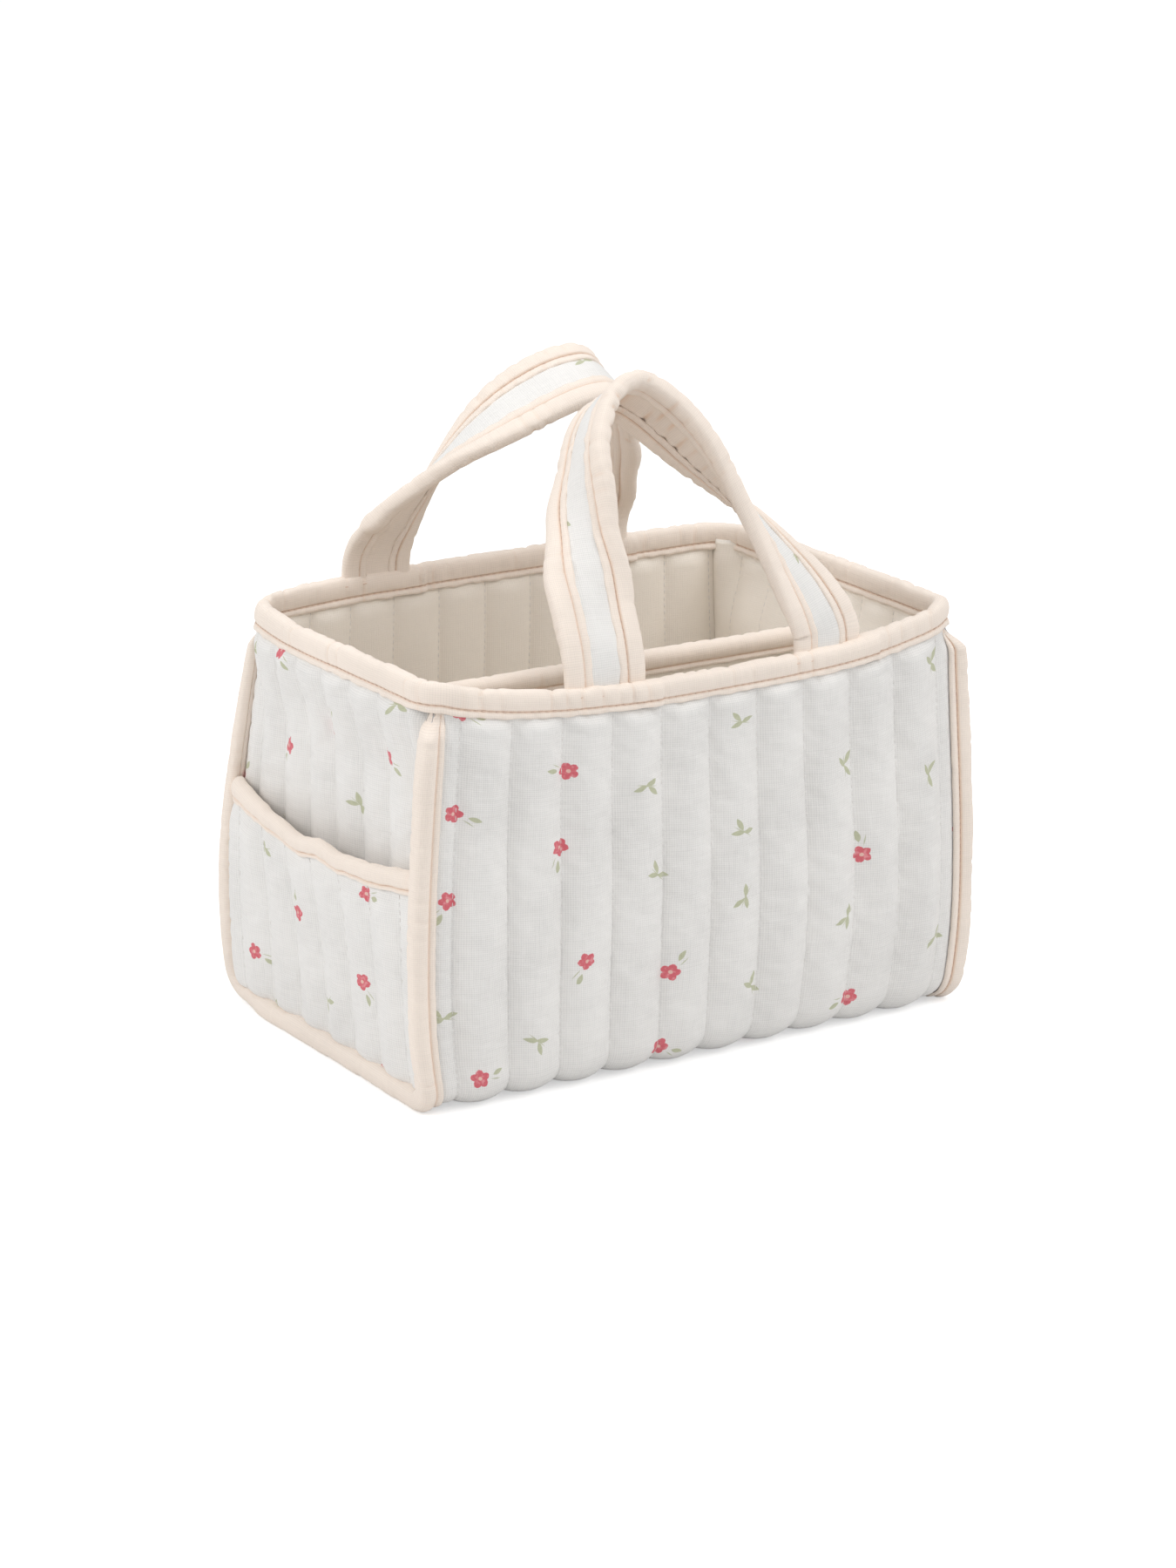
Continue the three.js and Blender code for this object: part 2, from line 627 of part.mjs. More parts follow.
// Upright tape on an end lining or on an end of the divider, with its outer face at a distance from the middle.
function addTape(name, side, face, width) {
  const tape = new THREE.BoxGeometry(TAPE_THICKNESS, width, TAPE_HIGH - TAPE_LOW);
  tape.translate(side * (face - TAPE_THICKNESS / 2), DIVIDER_PLACE, (TAPE_LOW + TAPE_HIGH) / 2);
  add(name, tape, TAPE);
}

const ENDS = { left: -1, right: 1 };
const HANDLES = {
  front: {
    side: -1,
    shift: FRONT_SHIFT,
    lean: FRONT_LEAN,
    rise: FRONT_RISE,
    top: FRONT_TOP,
    left: { pull: FRONT_LEFT_PULL, level: FRONT_LEFT_BEND, twist: FRONT_LEFT_TWIST },
    right: { pull: FRONT_RIGHT_PULL, level: FRONT_RIGHT_BEND, twist: FRONT_RIGHT_TWIST },
  },
  back: {
    side: 1,
    shift: 0,
    lean: BACK_LEAN,
    rise: BACK_RISE,
    top: BACK_TOP,
    left: { pull: BACK_LEFT_PULL, level: BACK_LEFT_BEND, twist: BACK_LEFT_TWIST },
    right: { pull: BACK_RIGHT_PULL, level: BACK_RIGHT_BEND, twist: BACK_RIGHT_TWIST },
  },
};

addWrap();
for (const [name, side] of Object.entries(ENDS)) {
  addEnd(name, side);
  addPocket(name, side);
  addEndBinding(name, side);
  addTape(`${name}_loop_tape`, side, TAPE_SEAT, TAPE_WIDTH);
}
addRim();
for (const [name, handle] of Object.entries(HANDLES)) {
  addHandle(`${name}_handle`, handle);
  for (const [end, way] of Object.entries(ENDS)) {
    addTab(`${name}_handle_${end}_tab`, handle.side, handle.shift + (way * STRAP_SPACING) / 2);
  }
}
addDivider();
for (const [name, side] of Object.entries(ENDS)) {
  addTape(`divider_${name}_hook_tape`, side, TAPE_SEAT - TAPE_THICKNESS - CLEARANCE, DIVIDER_WALL);
}

export default caddy;
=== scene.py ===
"""A quilted nursery caddy in printed and plain muslin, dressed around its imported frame.

Lengths in the classes are millimetres on the frame's axes: X along the length, -Y to the front, +Z up.
"""

import logging
import math
from collections.abc import Callable, Iterable, Sequence
from dataclasses import dataclass, replace
from enum import Enum

import bmesh
import bpy
from mathutils import Matrix, Vector, noise


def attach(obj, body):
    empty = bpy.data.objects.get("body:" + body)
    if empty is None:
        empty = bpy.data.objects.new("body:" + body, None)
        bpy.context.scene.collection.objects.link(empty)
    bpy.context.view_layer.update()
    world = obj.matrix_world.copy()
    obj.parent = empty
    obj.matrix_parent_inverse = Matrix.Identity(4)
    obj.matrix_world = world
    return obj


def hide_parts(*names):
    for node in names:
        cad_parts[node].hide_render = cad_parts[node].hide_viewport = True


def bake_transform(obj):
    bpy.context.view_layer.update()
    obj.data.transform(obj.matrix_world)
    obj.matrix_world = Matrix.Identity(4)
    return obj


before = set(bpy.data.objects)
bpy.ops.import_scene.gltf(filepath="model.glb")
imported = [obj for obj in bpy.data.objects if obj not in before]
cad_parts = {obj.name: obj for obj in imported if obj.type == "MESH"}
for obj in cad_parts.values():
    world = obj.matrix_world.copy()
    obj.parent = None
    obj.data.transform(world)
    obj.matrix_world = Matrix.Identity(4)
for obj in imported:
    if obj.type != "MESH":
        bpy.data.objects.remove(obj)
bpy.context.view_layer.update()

LOG = logging.getLogger("caddy")
MM = 0.001
UV_NAME = "cloth"
HELD = "held"
# Vertex attribute holding how much shade is painted on a point in a crease, pleat or stitched line.
PAINTED_SHADE_ATTRIBUTE = "fold"
WELD = 1e-6
NOISE_SEED = 1
CREASE_WIDTH = 0.42
BELLY_SCALE = 27 / 4
LINING_DRAW = 900
THREAD_OUT = 0.12

Spot = Callable[[int, int], Vector]
Flat = Callable[[int, int], tuple[float, float]]
Hold = Callable[[int, int], bool]
# How much shade is painted on a point, by its row and column.
PaintedShade = Callable[[int, int], float]
Place = Callable[[object, float, float], Vector]
Share = Callable[[object], float]


def clamp(value: float, low: float = 0.0, high: float = 1.0) -> float:
    """Keeps a value between two limits."""
    return max(low, min(high, value))


def lerp(start: float, end: float, share: float) -> float:
    """Goes from one value to another by a share."""
    return start + (end - start) * share


def smoothstep(value: float, low: float, high: float) -> float:
    """Rises smoothly from 0 at low to 1 at high."""
    share = clamp((value - low) / (high - low))
    return share * share * (3 - 2 * share)


def ripple(x: float, y: float = 0.0, z: float = 0.0) -> float:
    """Smooth noise from -1 to 1, the same on every run."""
    return noise.noise(Vector((x, y, z)))


def bell(value: float, width: float) -> float:
    """A smooth hump: 1 at 0, and fading over a width on both sides."""
    return math.exp(-((value / width) ** 2))


def furrow(turns: float) -> float:
    """How deep in the nearest of evenly spaced creases a place lies, from 0 to 1."""
    return bell(math.sin(math.pi * turns), CREASE_WIDTH)


def spread(length: float, step: float) -> list[float]:
    """Even places from 0 to a length, about a step apart."""
    count = max(1, round(length / step))
    return [length * i / count for i in range(count + 1)]


def new_object(name: str, form: bmesh.types.BMesh) -> bpy.types.Object:
    """Turns a bmesh into an object of the scene.

    Args:
        name: The object's name.
        form: The finished bmesh, which is freed.

    Returns:
        The new object, at the origin.
    """
    for face in form.faces:
        face.smooth = True
    mesh = bpy.data.meshes.new(name)
    form.to_mesh(mesh)
    form.free()
    made = bpy.data.objects.new(name, mesh)
    bpy.context.scene.collection.objects.link(made)
    return made


def shell(name: str, rows: int, columns: int, outer: Spot, inner: Spot, flat: Flat,
          joined: bool = False, held: Hold | None = None, painted_shade: PaintedShade | None = None) -> bpy.types.Object:
    """Sews a closed cloth form from a shown face and a hidden face that meet along their borders.

    Args:
        name: The piece's name.
        rows: Points along the piece.
        columns: Points across it.
        outer: Where a point of the shown face lies.
        inner: The same for the hidden face.
        flat: Where a point lies on the cloth before it is sewn.
        joined: Whether the last row meets the first.
        held: Whether a point of the shown face stays in place when the piece is swollen, if it is.
        painted_shade: How much shade is painted on a point of the shown face, for lying in a fold, from 0 to
            1, if the piece has folds.

    Returns:
        The closed piece, with the flat places as its UV map in metres.
    """
    form = bmesh.new()
    marks = form.verts.layers.float.new(HELD) if held else None
    painted_shades = form.verts.layers.float.new(PAINTED_SHADE_ATTRIBUTE) if painted_shade else None
    bmesh.ops.create_grid(form, x_segments=columns - 1, y_segments=rows - 1, size=1)
    layer = form.loops.layers.uv.new(UV_NAME)
    places = {}
    for vert in form.verts:
        row = round((vert.co.y + 1) / 2 * (rows - 1))
        places[vert] = (row, round((vert.co.x + 1) / 2 * (columns - 1)))
    for face in form.faces:
        for loop in face.loops:
            loop[layer].uv = Vector(flat(*places[loop.vert])) * MM
    twins = bmesh.ops.duplicate(form, geom=form.verts[:] + form.edges[:] + form.faces[:])
    hidden = [item for item in twins["geom"] if isinstance(item, bmesh.types.BMFace)]
    bmesh.ops.reverse_faces(form, faces=hidden)
    for vert, (row, column) in places.items():
        turn = row % (rows - 1) if joined else row
        vert.co = outer(turn, column) * MM
        border = column in (0, columns - 1) or (not joined and row in (0, rows - 1))
        twin = twins["vert_map"][vert]
        twin.co = vert.co if border else inner(turn, column) * MM
        if held:
            vert[marks] = float(border or held(row, column))
            twin[marks] = 1.0
        # Store the shade that is painted on this point.
        if painted_shade:
            vert[painted_shades] = painted_shade(turn, column)
    bmesh.ops.remove_doubles(form, verts=form.verts[:], dist=WELD)
    bmesh.ops.recalc_face_normals(form, faces=form.faces[:])
    return new_object(name, form)


@dataclass(frozen=True)
class Swell:
    """Swells the loose cloth between a cover's seams until it puckers."""

    pressure: float = 2.0
    slack: float = 0.012
    frames: int = 14
    most: float = 1.4

    def settle(self, piece: bpy.types.Object) -> bpy.types.Object:
        """Runs the cloth solver on a piece and keeps the shape that it reaches.

        Args:
            piece: The piece, whose held points are marked.

        Returns:
            The piece.
        """
        mesh = piece.data
        marks = [mark.value > 0.5 for mark in mesh.attributes[HELD].data]
        mesh.attributes.remove(mesh.attributes[HELD])
        start = [vert.co.copy() for vert in mesh.vertices]
        pins = piece.vertex_groups.new(name=HELD)
        pins.add([i for i, held in enumerate(marks) if held], 1.0, "REPLACE")
        cloth = piece.modifiers.new("swell", "CLOTH")
        self.prepare(cloth)
        scene = bpy.context.scene
        for number in range(1, self.frames + 1):
            scene.frame_set(number)
        swollen = piece.evaluated_get(bpy.context.evaluated_depsgraph_get()).to_mesh()
        ends = [vert.co.copy() for vert in swollen.vertices]
        piece.modifiers.remove(cloth)
        piece.vertex_groups.remove(pins)
        scene.frame_set(1)
        most = self.most * MM
        for vert, low, high, held in zip(mesh.vertices, start, ends, marks):
            move = high - low
            if not held and move.length > 0:
                vert.co = low + move * min(1.0, most / move.length)
                vert.co.z = max(0.0, vert.co.z)
        return piece

    def prepare(self, cloth: bpy.types.Modifier) -> None:
        """Sets the solver up for thin, slack cloth that is pressed out from behind.

        Args:
            cloth: The piece's cloth modifier.
        """
        settings = cloth.settings
        settings.quality = 6
        settings.mass = 0.1
        settings.tension_stiffness = 12
        settings.compression_stiffness = 12
        settings.shear_stiffness = 4
        settings.bending_stiffness = 0.3
        settings.use_pressure = True
        settings.uniform_pressure_force = self.pressure
        settings.shrink_min = -self.slack
        settings.vertex_group_mass = HELD
        settings.effector_weights.gravity = 0
        cloth.collision_settings.use_collision = False
        cloth.point_cache.frame_start = 1
        cloth.point_cache.frame_end = self.frames


class Side(Enum):
    """Ends of the box, by the way they face along X."""

    LEFT = -1
    RIGHT = 1


class Face(Enum):
    """Long sides of the box, by the way they face along Y."""

    FRONT = -1
    BACK = 1


class Print(Enum):
    """What is printed on a cloth."""

    PLAIN = "plain"
    DITSY = "ditsy"


def linear(red: float, green: float, blue: float) -> tuple[float, float, float, float]:
    """A colour in 0 to 255 screen values as the linear one that shaders take.

    Args:
        red: Red on the screen.
        green: Green on the screen.
        blue: Blue on the screen.

    Returns:
        The linear colour, opaque.
    """
    shares = [value / 255 for value in (red, green, blue)]
    return (*(s / 12.92 if s <= 0.04045 else ((s + 0.055) / 1.055) ** 2.4 for s in shares), 1.0)


class Bench:
    """Lays out the nodes of one material."""

    def __init__(self, name: str) -> None:
        """Starts an empty material.

        Args:
            name: The material's name.
        """
        self.material = bpy.data.materials.new(name)
        self.material.use_nodes = True
        self.tree = self.material.node_tree
        self.tree.nodes.clear()

    def add(self, kind: str, feeds: dict | None = None, **settings: object) -> bpy.types.Node:
        """Adds a node.

        Args:
            kind: The node's type.
            feeds: What goes into its sockets, by name or number.
            settings: Its other settings.

        Returns:
            The node.
        """
        node = self.tree.nodes.new(kind)
        for key, value in settings.items():
            setattr(node, key, value)
        for key, value in (feeds or {}).items():
            if isinstance(value, bpy.types.NodeSocket):
                self.tree.links.new(value, node.inputs[key])
            else:
                node.inputs[key].default_value = value
        return node

    def math(self, operation: str, *values: object) -> bpy.types.NodeSocket:
        """The result of a sum on sockets or numbers."""
        return self.add("ShaderNodeMath", dict(enumerate(values)), operation=operation).outputs[0]

    def mix(self, share: object, start: object, end: object) -> bpy.types.NodeSocket:
        """A colour between two others."""
        feeds = {0: share, 6: start, 7: end}
        return self.add("ShaderNodeMix", feeds, data_type="RGBA").outputs[2]

    def step(self, value: object, low: float, high: float) -> bpy.types.NodeSocket:
        """A smooth rise from 0 at low to 1 at high."""
        feeds = {"Value": value, "From Min": low, "From Max": high}
        return self.add("ShaderNodeMapRange", feeds, interpolation_type="SMOOTHSTEP").outputs[0]

    def noise(self, place: object, scale: float, detail: float = 2.0) -> bpy.types.NodeSocket:
        """Soft noise from 0 to 1."""
        feeds = {"Vector": place, "Scale": scale, "Detail": detail}
        return self.add("ShaderNodeTexNoise", feeds).outputs[0]

    def stretched(self, place: object, x: float, y: float) -> bpy.types.NodeSocket:
        """A place scaled apart along its two axes."""
        return self.add("ShaderNodeMapping", {"Vector": place, "Scale": (x, y, 1)}).outputs[0]


@dataclass(frozen=True)
class Ditsy:
    """A scattered print of small blossoms and leaf sprigs. Lengths are metres of cloth."""

    cell_width: float = 0.054
    cell_height: float = 0.047
    jitter: float = 0.013
    petal_reach: float = 0.0046
    petal_dip: float = 0.30
    heart: float = 0.0011
    edge: float = 0.00035
    wobble: float = 0.0011
    coral: tuple[float, float, float] = (219, 92, 106)
    pale_coral: tuple[float, float, float] = (235, 150, 156)
    sage: tuple[float, float, float] = (176, 180, 142)
    pale_sage: tuple[float, float, float] = (205, 207, 178)

    def leaf(self, bench: Bench, place: object, turn: float, root: float, length: float,
             width: float) -> bpy.types.NodeSocket:
        """One leaf of a sprig.

        Args:
            bench: The material that is laid out.
            place: Where the point lies on its motif.
            turn: Which way the leaf points, in radians.
            root: How far from the motif's middle it starts.
            length: Half of its length.
            width: Half of its width.

        Returns:
            1 on the leaf and 0 off it.
        """
        turned = bench.add("ShaderNodeVectorRotate", {"Vector": place, "Angle": -turn},
                           rotation_type="Z_AXIS").outputs[0]
        parts = bench.add("ShaderNodeSeparateXYZ", {0: turned})
        along = bench.math("DIVIDE", bench.math("SUBTRACT", parts.outputs[0], root + length), length)
        taper = bench.math("SUBTRACT", 1.0, bench.math("MULTIPLY", along, along))
        rim = bench.math("MULTIPLY", taper, width)
        inside = bench.math("SUBTRACT", rim, bench.math("ABSOLUTE", parts.outputs[1]))
        return bench.step(inside, 0.0, self.edge)

    def motif_place(self, bench: Bench, place: object) -> tuple[bpy.types.NodeSocket, bpy.types.NodeSocket]:
        """Where a point lies on the nearest motif of a half-drop layout.

        Args:
            bench: The material that is laid out.
            place: Where the point lies on the cloth.

        Returns:
            Its place from the motif's middle, turned by the motif's own angle, and the motif's own number.
        """
        parts = bench.add("ShaderNodeSeparateXYZ", {0: place})
        across = bench.math("DIVIDE", parts.outputs[0], self.cell_width)
        column = bench.math("FLOOR", across)
        drop = bench.math("FRACT", bench.math("MULTIPLY", column, 0.5))
        along = bench.math("ADD", bench.math("DIVIDE", parts.outputs[1], self.cell_height), drop)
        row = bench.math("FLOOR", along)
        cell = bench.add("ShaderNodeCombineXYZ", {0: column, 1: row, 2: 0.7}).outputs[0]
        chance = bench.add("ShaderNodeTexWhiteNoise", {"Vector": cell})
        chances = bench.add("ShaderNodeSeparateColor", {0: chance.outputs["Color"]})
        local = []
        sizes = (self.cell_width, self.cell_height)
        for spot, start, size, draw in zip((across, along), (column, row), sizes, chances.outputs):
            middle = bench.math("SUBTRACT", bench.math("SUBTRACT", spot, start), 0.5)
            shift = bench.math("MULTIPLY", bench.math("SUBTRACT", draw, 0.5), 2 * self.jitter)
            local.append(bench.math("SUBTRACT", bench.math("MULTIPLY", middle, size), shift))
        spot = bench.add("ShaderNodeCombineXYZ", {0: local[0], 1: local[1], 2: 0.0}).outputs[0]
        angle = bench.math("MULTIPLY", chances.outputs[2], 2 * math.pi)
        turned = bench.add("ShaderNodeVectorRotate", {"Vector": spot, "Angle": angle}, rotation_type="Z_AXIS")
        return turned.outputs[0], chance.outputs["Value"]

    def paint(self, bench: Bench, place: object, ground: object) -> bpy.types.NodeSocket:
        """Prints the motifs on a ground colour.

        Args:
            bench: The material that is laid out.
            place: Where the point lies on the cloth.
            ground: The colour of the cloth.

        Returns:
            The printed colour.
        """
        spot, chance = self.motif_place(bench, place)
        brush = bench.noise(place, 520, 3)
        parts = bench.add("ShaderNodeSeparateXYZ", {0: spot})
        reach = bench.add("ShaderNodeVectorMath", {0: spot}, operation="LENGTH").outputs["Value"]
        uneven = bench.math("MULTIPLY", bench.math("SUBTRACT", brush, 0.5), self.wobble)
        reach = bench.math("ADD", reach, uneven)
        angle = bench.math("ARCTAN2", parts.outputs[1], parts.outputs[0])
        wave = bench.math("ABSOLUTE", bench.math("COSINE", bench.math("MULTIPLY", angle, 2.5)))
        share = bench.math("MULTIPLY_ADD", wave, self.petal_dip, 1 - self.petal_dip)
        petals = bench.math("SUBTRACT", bench.math("MULTIPLY", share, self.petal_reach), reach)
        blossom = bench.step(petals, 0.0, self.edge)
        heart = bench.step(bench.math("SUBTRACT", self.heart, reach), 0.0, self.edge)
        is_blossom = bench.math("GREATER_THAN", chance, 0.42)
        is_sprig = bench.math("SUBTRACT", 1.0, is_blossom)
        stem = self.leaf(bench, spot, 3.05, 0.0042, 0.0036, 0.00042)
        side_leaf = self.leaf(bench, spot, 2.72, 0.0062, 0.0034, 0.0014)
        sprig = self.leaf(bench, spot, 0.0, -0.0075, 0.0075, 0.00045)
        for turn, root in ((0.55, 0.0005), (-0.62, -0.0012), (2.6, -0.0005)):
            sprig = bench.math("MAXIMUM", sprig, self.leaf(bench, spot, turn, root, 0.0040, 0.0015))
        beside = bench.math("MULTIPLY", is_blossom, bench.math("MAXIMUM", stem, side_leaf))
        greens = bench.math("MAXIMUM", beside, bench.math("MULTIPLY", is_sprig, sprig))
        green = bench.mix(brush, linear(*self.sage), linear(*self.pale_sage))
        coral = bench.mix(bench.step(brush, 0.46, 0.72), linear(*self.coral), linear(*self.pale_coral))
        colour = bench.mix(bench.math("MULTIPLY", greens, 0.88), ground, green)
        petal_share = bench.math("MULTIPLY", bench.math("MULTIPLY", blossom, is_blossom), 0.93)
        colour = bench.mix(petal_share, colour, coral)
        heart_share = bench.math("MULTIPLY", bench.math("MULTIPLY", heart, is_blossom), 0.7)
        return bench.mix(heart_share, colour, linear(247, 222, 206))


@dataclass(frozen=True)
class Muslin:
    """A soft double-gauze cloth: its colour, thread and print. The thread pitch is metres."""

    name: str
    tone: tuple[float, float, float]
    print: Print = Print.PLAIN
    pitch: float = 0.0010
    shade: float = 0.90
    sheen: float = 0.12
    roughness: float = 0.92
    bump: float = 0.42
    depth: float = 0.0005

    def material(self) -> bpy.types.Material:
        """Lays out the cloth's weave, slubs, crinkle, colour and print, with shade painted into its folds and
        stitched lines.

        Returns:
            The material, made once.
        """
        if self.name in bpy.data.materials:
            return bpy.data.materials[self.name]
        bench = Bench(self.name)
        place = bench.add("ShaderNodeUVMap", uv_map=UV_NAME).outputs[0]
        threads = []
        for way in ("X", "Y"):
            feeds = {"Vector": place, "Scale": 2 * math.pi / 20 / self.pitch, "Distortion": 1.6,
                     "Detail": 1.0, "Detail Scale": 0.22}
            threads.append(bench.add("ShaderNodeTexWave", feeds, bands_direction=way).outputs["Fac"])
        weave = bench.math("MULTIPLY", bench.math("ADD", *threads), 0.5)
        slubs = bench.math("ADD", bench.noise(bench.stretched(place, 900, 70), 1, 2),
                           bench.noise(bench.stretched(place, 70, 900), 1, 2))
        crinkle = bench.noise(place, 260, 3)
        cloud = bench.noise(place, 22, 2)
        height = bench.math("ADD", bench.math("MULTIPLY", weave, 0.34), bench.math("MULTIPLY", slubs, 0.30))
        height = bench.math("ADD", height, bench.math("MULTIPLY", crinkle, 0.85))
        worn = bench.math("ADD", bench.math("MULTIPLY", weave, 0.34), bench.math("MULTIPLY", slubs, 0.24))
        worn = bench.math("ADD", worn, bench.math("MULTIPLY", cloud, 0.5))
        light = linear(*self.tone)
        dark = linear(*(value * self.shade for value in self.tone))
        # Painted shade: a warmer, darker tone mixed in where the fold attribute marks creases, pleats and
        # stitched lines.
        deep = linear(*(value * share for value, share in zip(self.tone, (0.97, 0.91, 0.86))))
        fold = bench.add("ShaderNodeAttribute", attribute_name=PAINTED_SHADE_ATTRIBUTE).outputs["Fac"]
        colour = bench.mix(bench.step(worn, 0.25, 0.85), dark, light)
        colour = bench.mix(bench.step(fold, 0.1, 1.3), colour, deep)
        if self.print is Print.DITSY:
            colour = Ditsy().paint(bench, place, colour)
        relief = {"Strength": self.bump, "Distance": self.depth, "Height": height}
        normal = bench.add("ShaderNodeBump", relief)
        feeds = {"Base Color": colour, "Roughness": self.roughness, "Sheen Weight": self.sheen,
                 "Sheen Roughness": 0.55, "Specular IOR Level": 0.2, "Normal": normal.outputs[0]}
        shader = bench.add("ShaderNodeBsdfPrincipled", feeds)
        bench.add("ShaderNodeOutputMaterial", {"Surface": shader.outputs[0]})
        return bench.material


@dataclass(frozen=True)
class Thread:
    """Twisted sewing thread."""

    name: str
    tone: tuple[float, float, float]

    def material(self) -> bpy.types.Material:
        """Lays out the thread's twist.

        Returns:
            The material, made once.
        """
        if self.name in bpy.data.materials:
            return bpy.data.materials[self.name]
        bench = Bench(self.name)
        place = bench.add("ShaderNodeTexCoord").outputs["Object"]
        twist = bench.add("ShaderNodeTexWave", {"Vector": place, "Scale": 900.0, "Distortion": 2.0},
                          bands_direction="DIAGONAL").outputs["Fac"]
        dark = linear(*(value * 0.9 for value in self.tone))
        colour = bench.mix(twist, dark, linear(*self.tone))
        normal = bench.add("ShaderNodeBump", {"Strength": 0.3, "Distance": 0.0001, "Height": twist})
        feeds = {"Base Color": colour, "Roughness": 0.7, "Sheen Weight": 0.1, "Normal": normal.outputs[0]}
        shader = bench.add("ShaderNodeBsdfPrincipled", feeds)
        bench.add("ShaderNodeOutputMaterial", {"Surface": shader.outputs[0]})
        return bench.material


PRINTED = Muslin("printed_muslin", (246, 244, 241), Print.DITSY)
BLUSH = Muslin("blush_muslin", (253, 240, 228), shade=0.94)
LINING = Muslin("lining_muslin", (255, 248, 238), shade=0.98)
TAPE = Muslin("brushed_tape", (240, 229, 219), pitch=0.0007, bump=0.9, sheen=0.3, shade=0.86)
WHITE_THREAD = Thread("white_thread", (246, 242, 238))
# Blush thread, set darker and warmer than the bindings so that its seam lines also carry painted shade.
BLUSH_THREAD = Thread("blush_thread", (245, 217, 198))


def dress(piece: bpy.types.Object, cloth: Muslin | Thread, nodes: Iterable[str] = (),
          body: str | None = "tote") -> bpy.types.Object:
    """Gives a piece its cloth and its place in the frame.

    Args:
        piece: The finished piece.
        cloth: What it is made of.
        nodes: The frame's nodes that it stands for.
        body: The body that carries it, or None to leave it without one.

    Returns:
        The piece.
    """
    piece.data.materials.append(cloth.material())
    if nodes:
        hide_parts(*nodes)
    if body:
        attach(piece, body)
    LOG.info("%s: %d faces", piece.name, len(piece.data.polygons))
    return piece


def sew(name: str, seams: Sequence[Sequence[Vector]], length: float = 2.7, gap: float = 1.0,
        radius: float = 0.26) -> bpy.types.Object:
    """Lays a row of stitches along each seam.

    Args:
        name: The piece's name.
        seams: The lines that are sewn.
        length: Length of a stitch.
        gap: Space between stitches.
        radius: Half of the thread's thickness.

    Returns:
        All the stitches as one object.
    """
    form = bmesh.new()
    shape = Matrix.Diagonal((length / 2 * MM, radius * MM, radius * MM, 1))
    for seam in seams:
        row = bmesh.new()
        travelled = 0.0
        due = gap
        for start, end in zip(seam, seam[1:]):
            span = (end - start).length
            while span > 0 and due <= travelled + span:
                middle = start.lerp(end, (due - travelled) / span)
                turn = (end - start).to_track_quat("X", "Z").to_matrix().to_4x4()
                matrix = Matrix.Translation(middle * MM) @ turn @ shape
                bmesh.ops.create_icosphere(row, subdivisions=1, radius=1, matrix=matrix)
                due += length + gap
            travelled += span
        mesh = bpy.data.meshes.new("row")
        row.to_mesh(mesh)
        row.free()
        form.from_mesh(mesh)
        bpy.data.meshes.remove(mesh)
    return new_object(name, form)


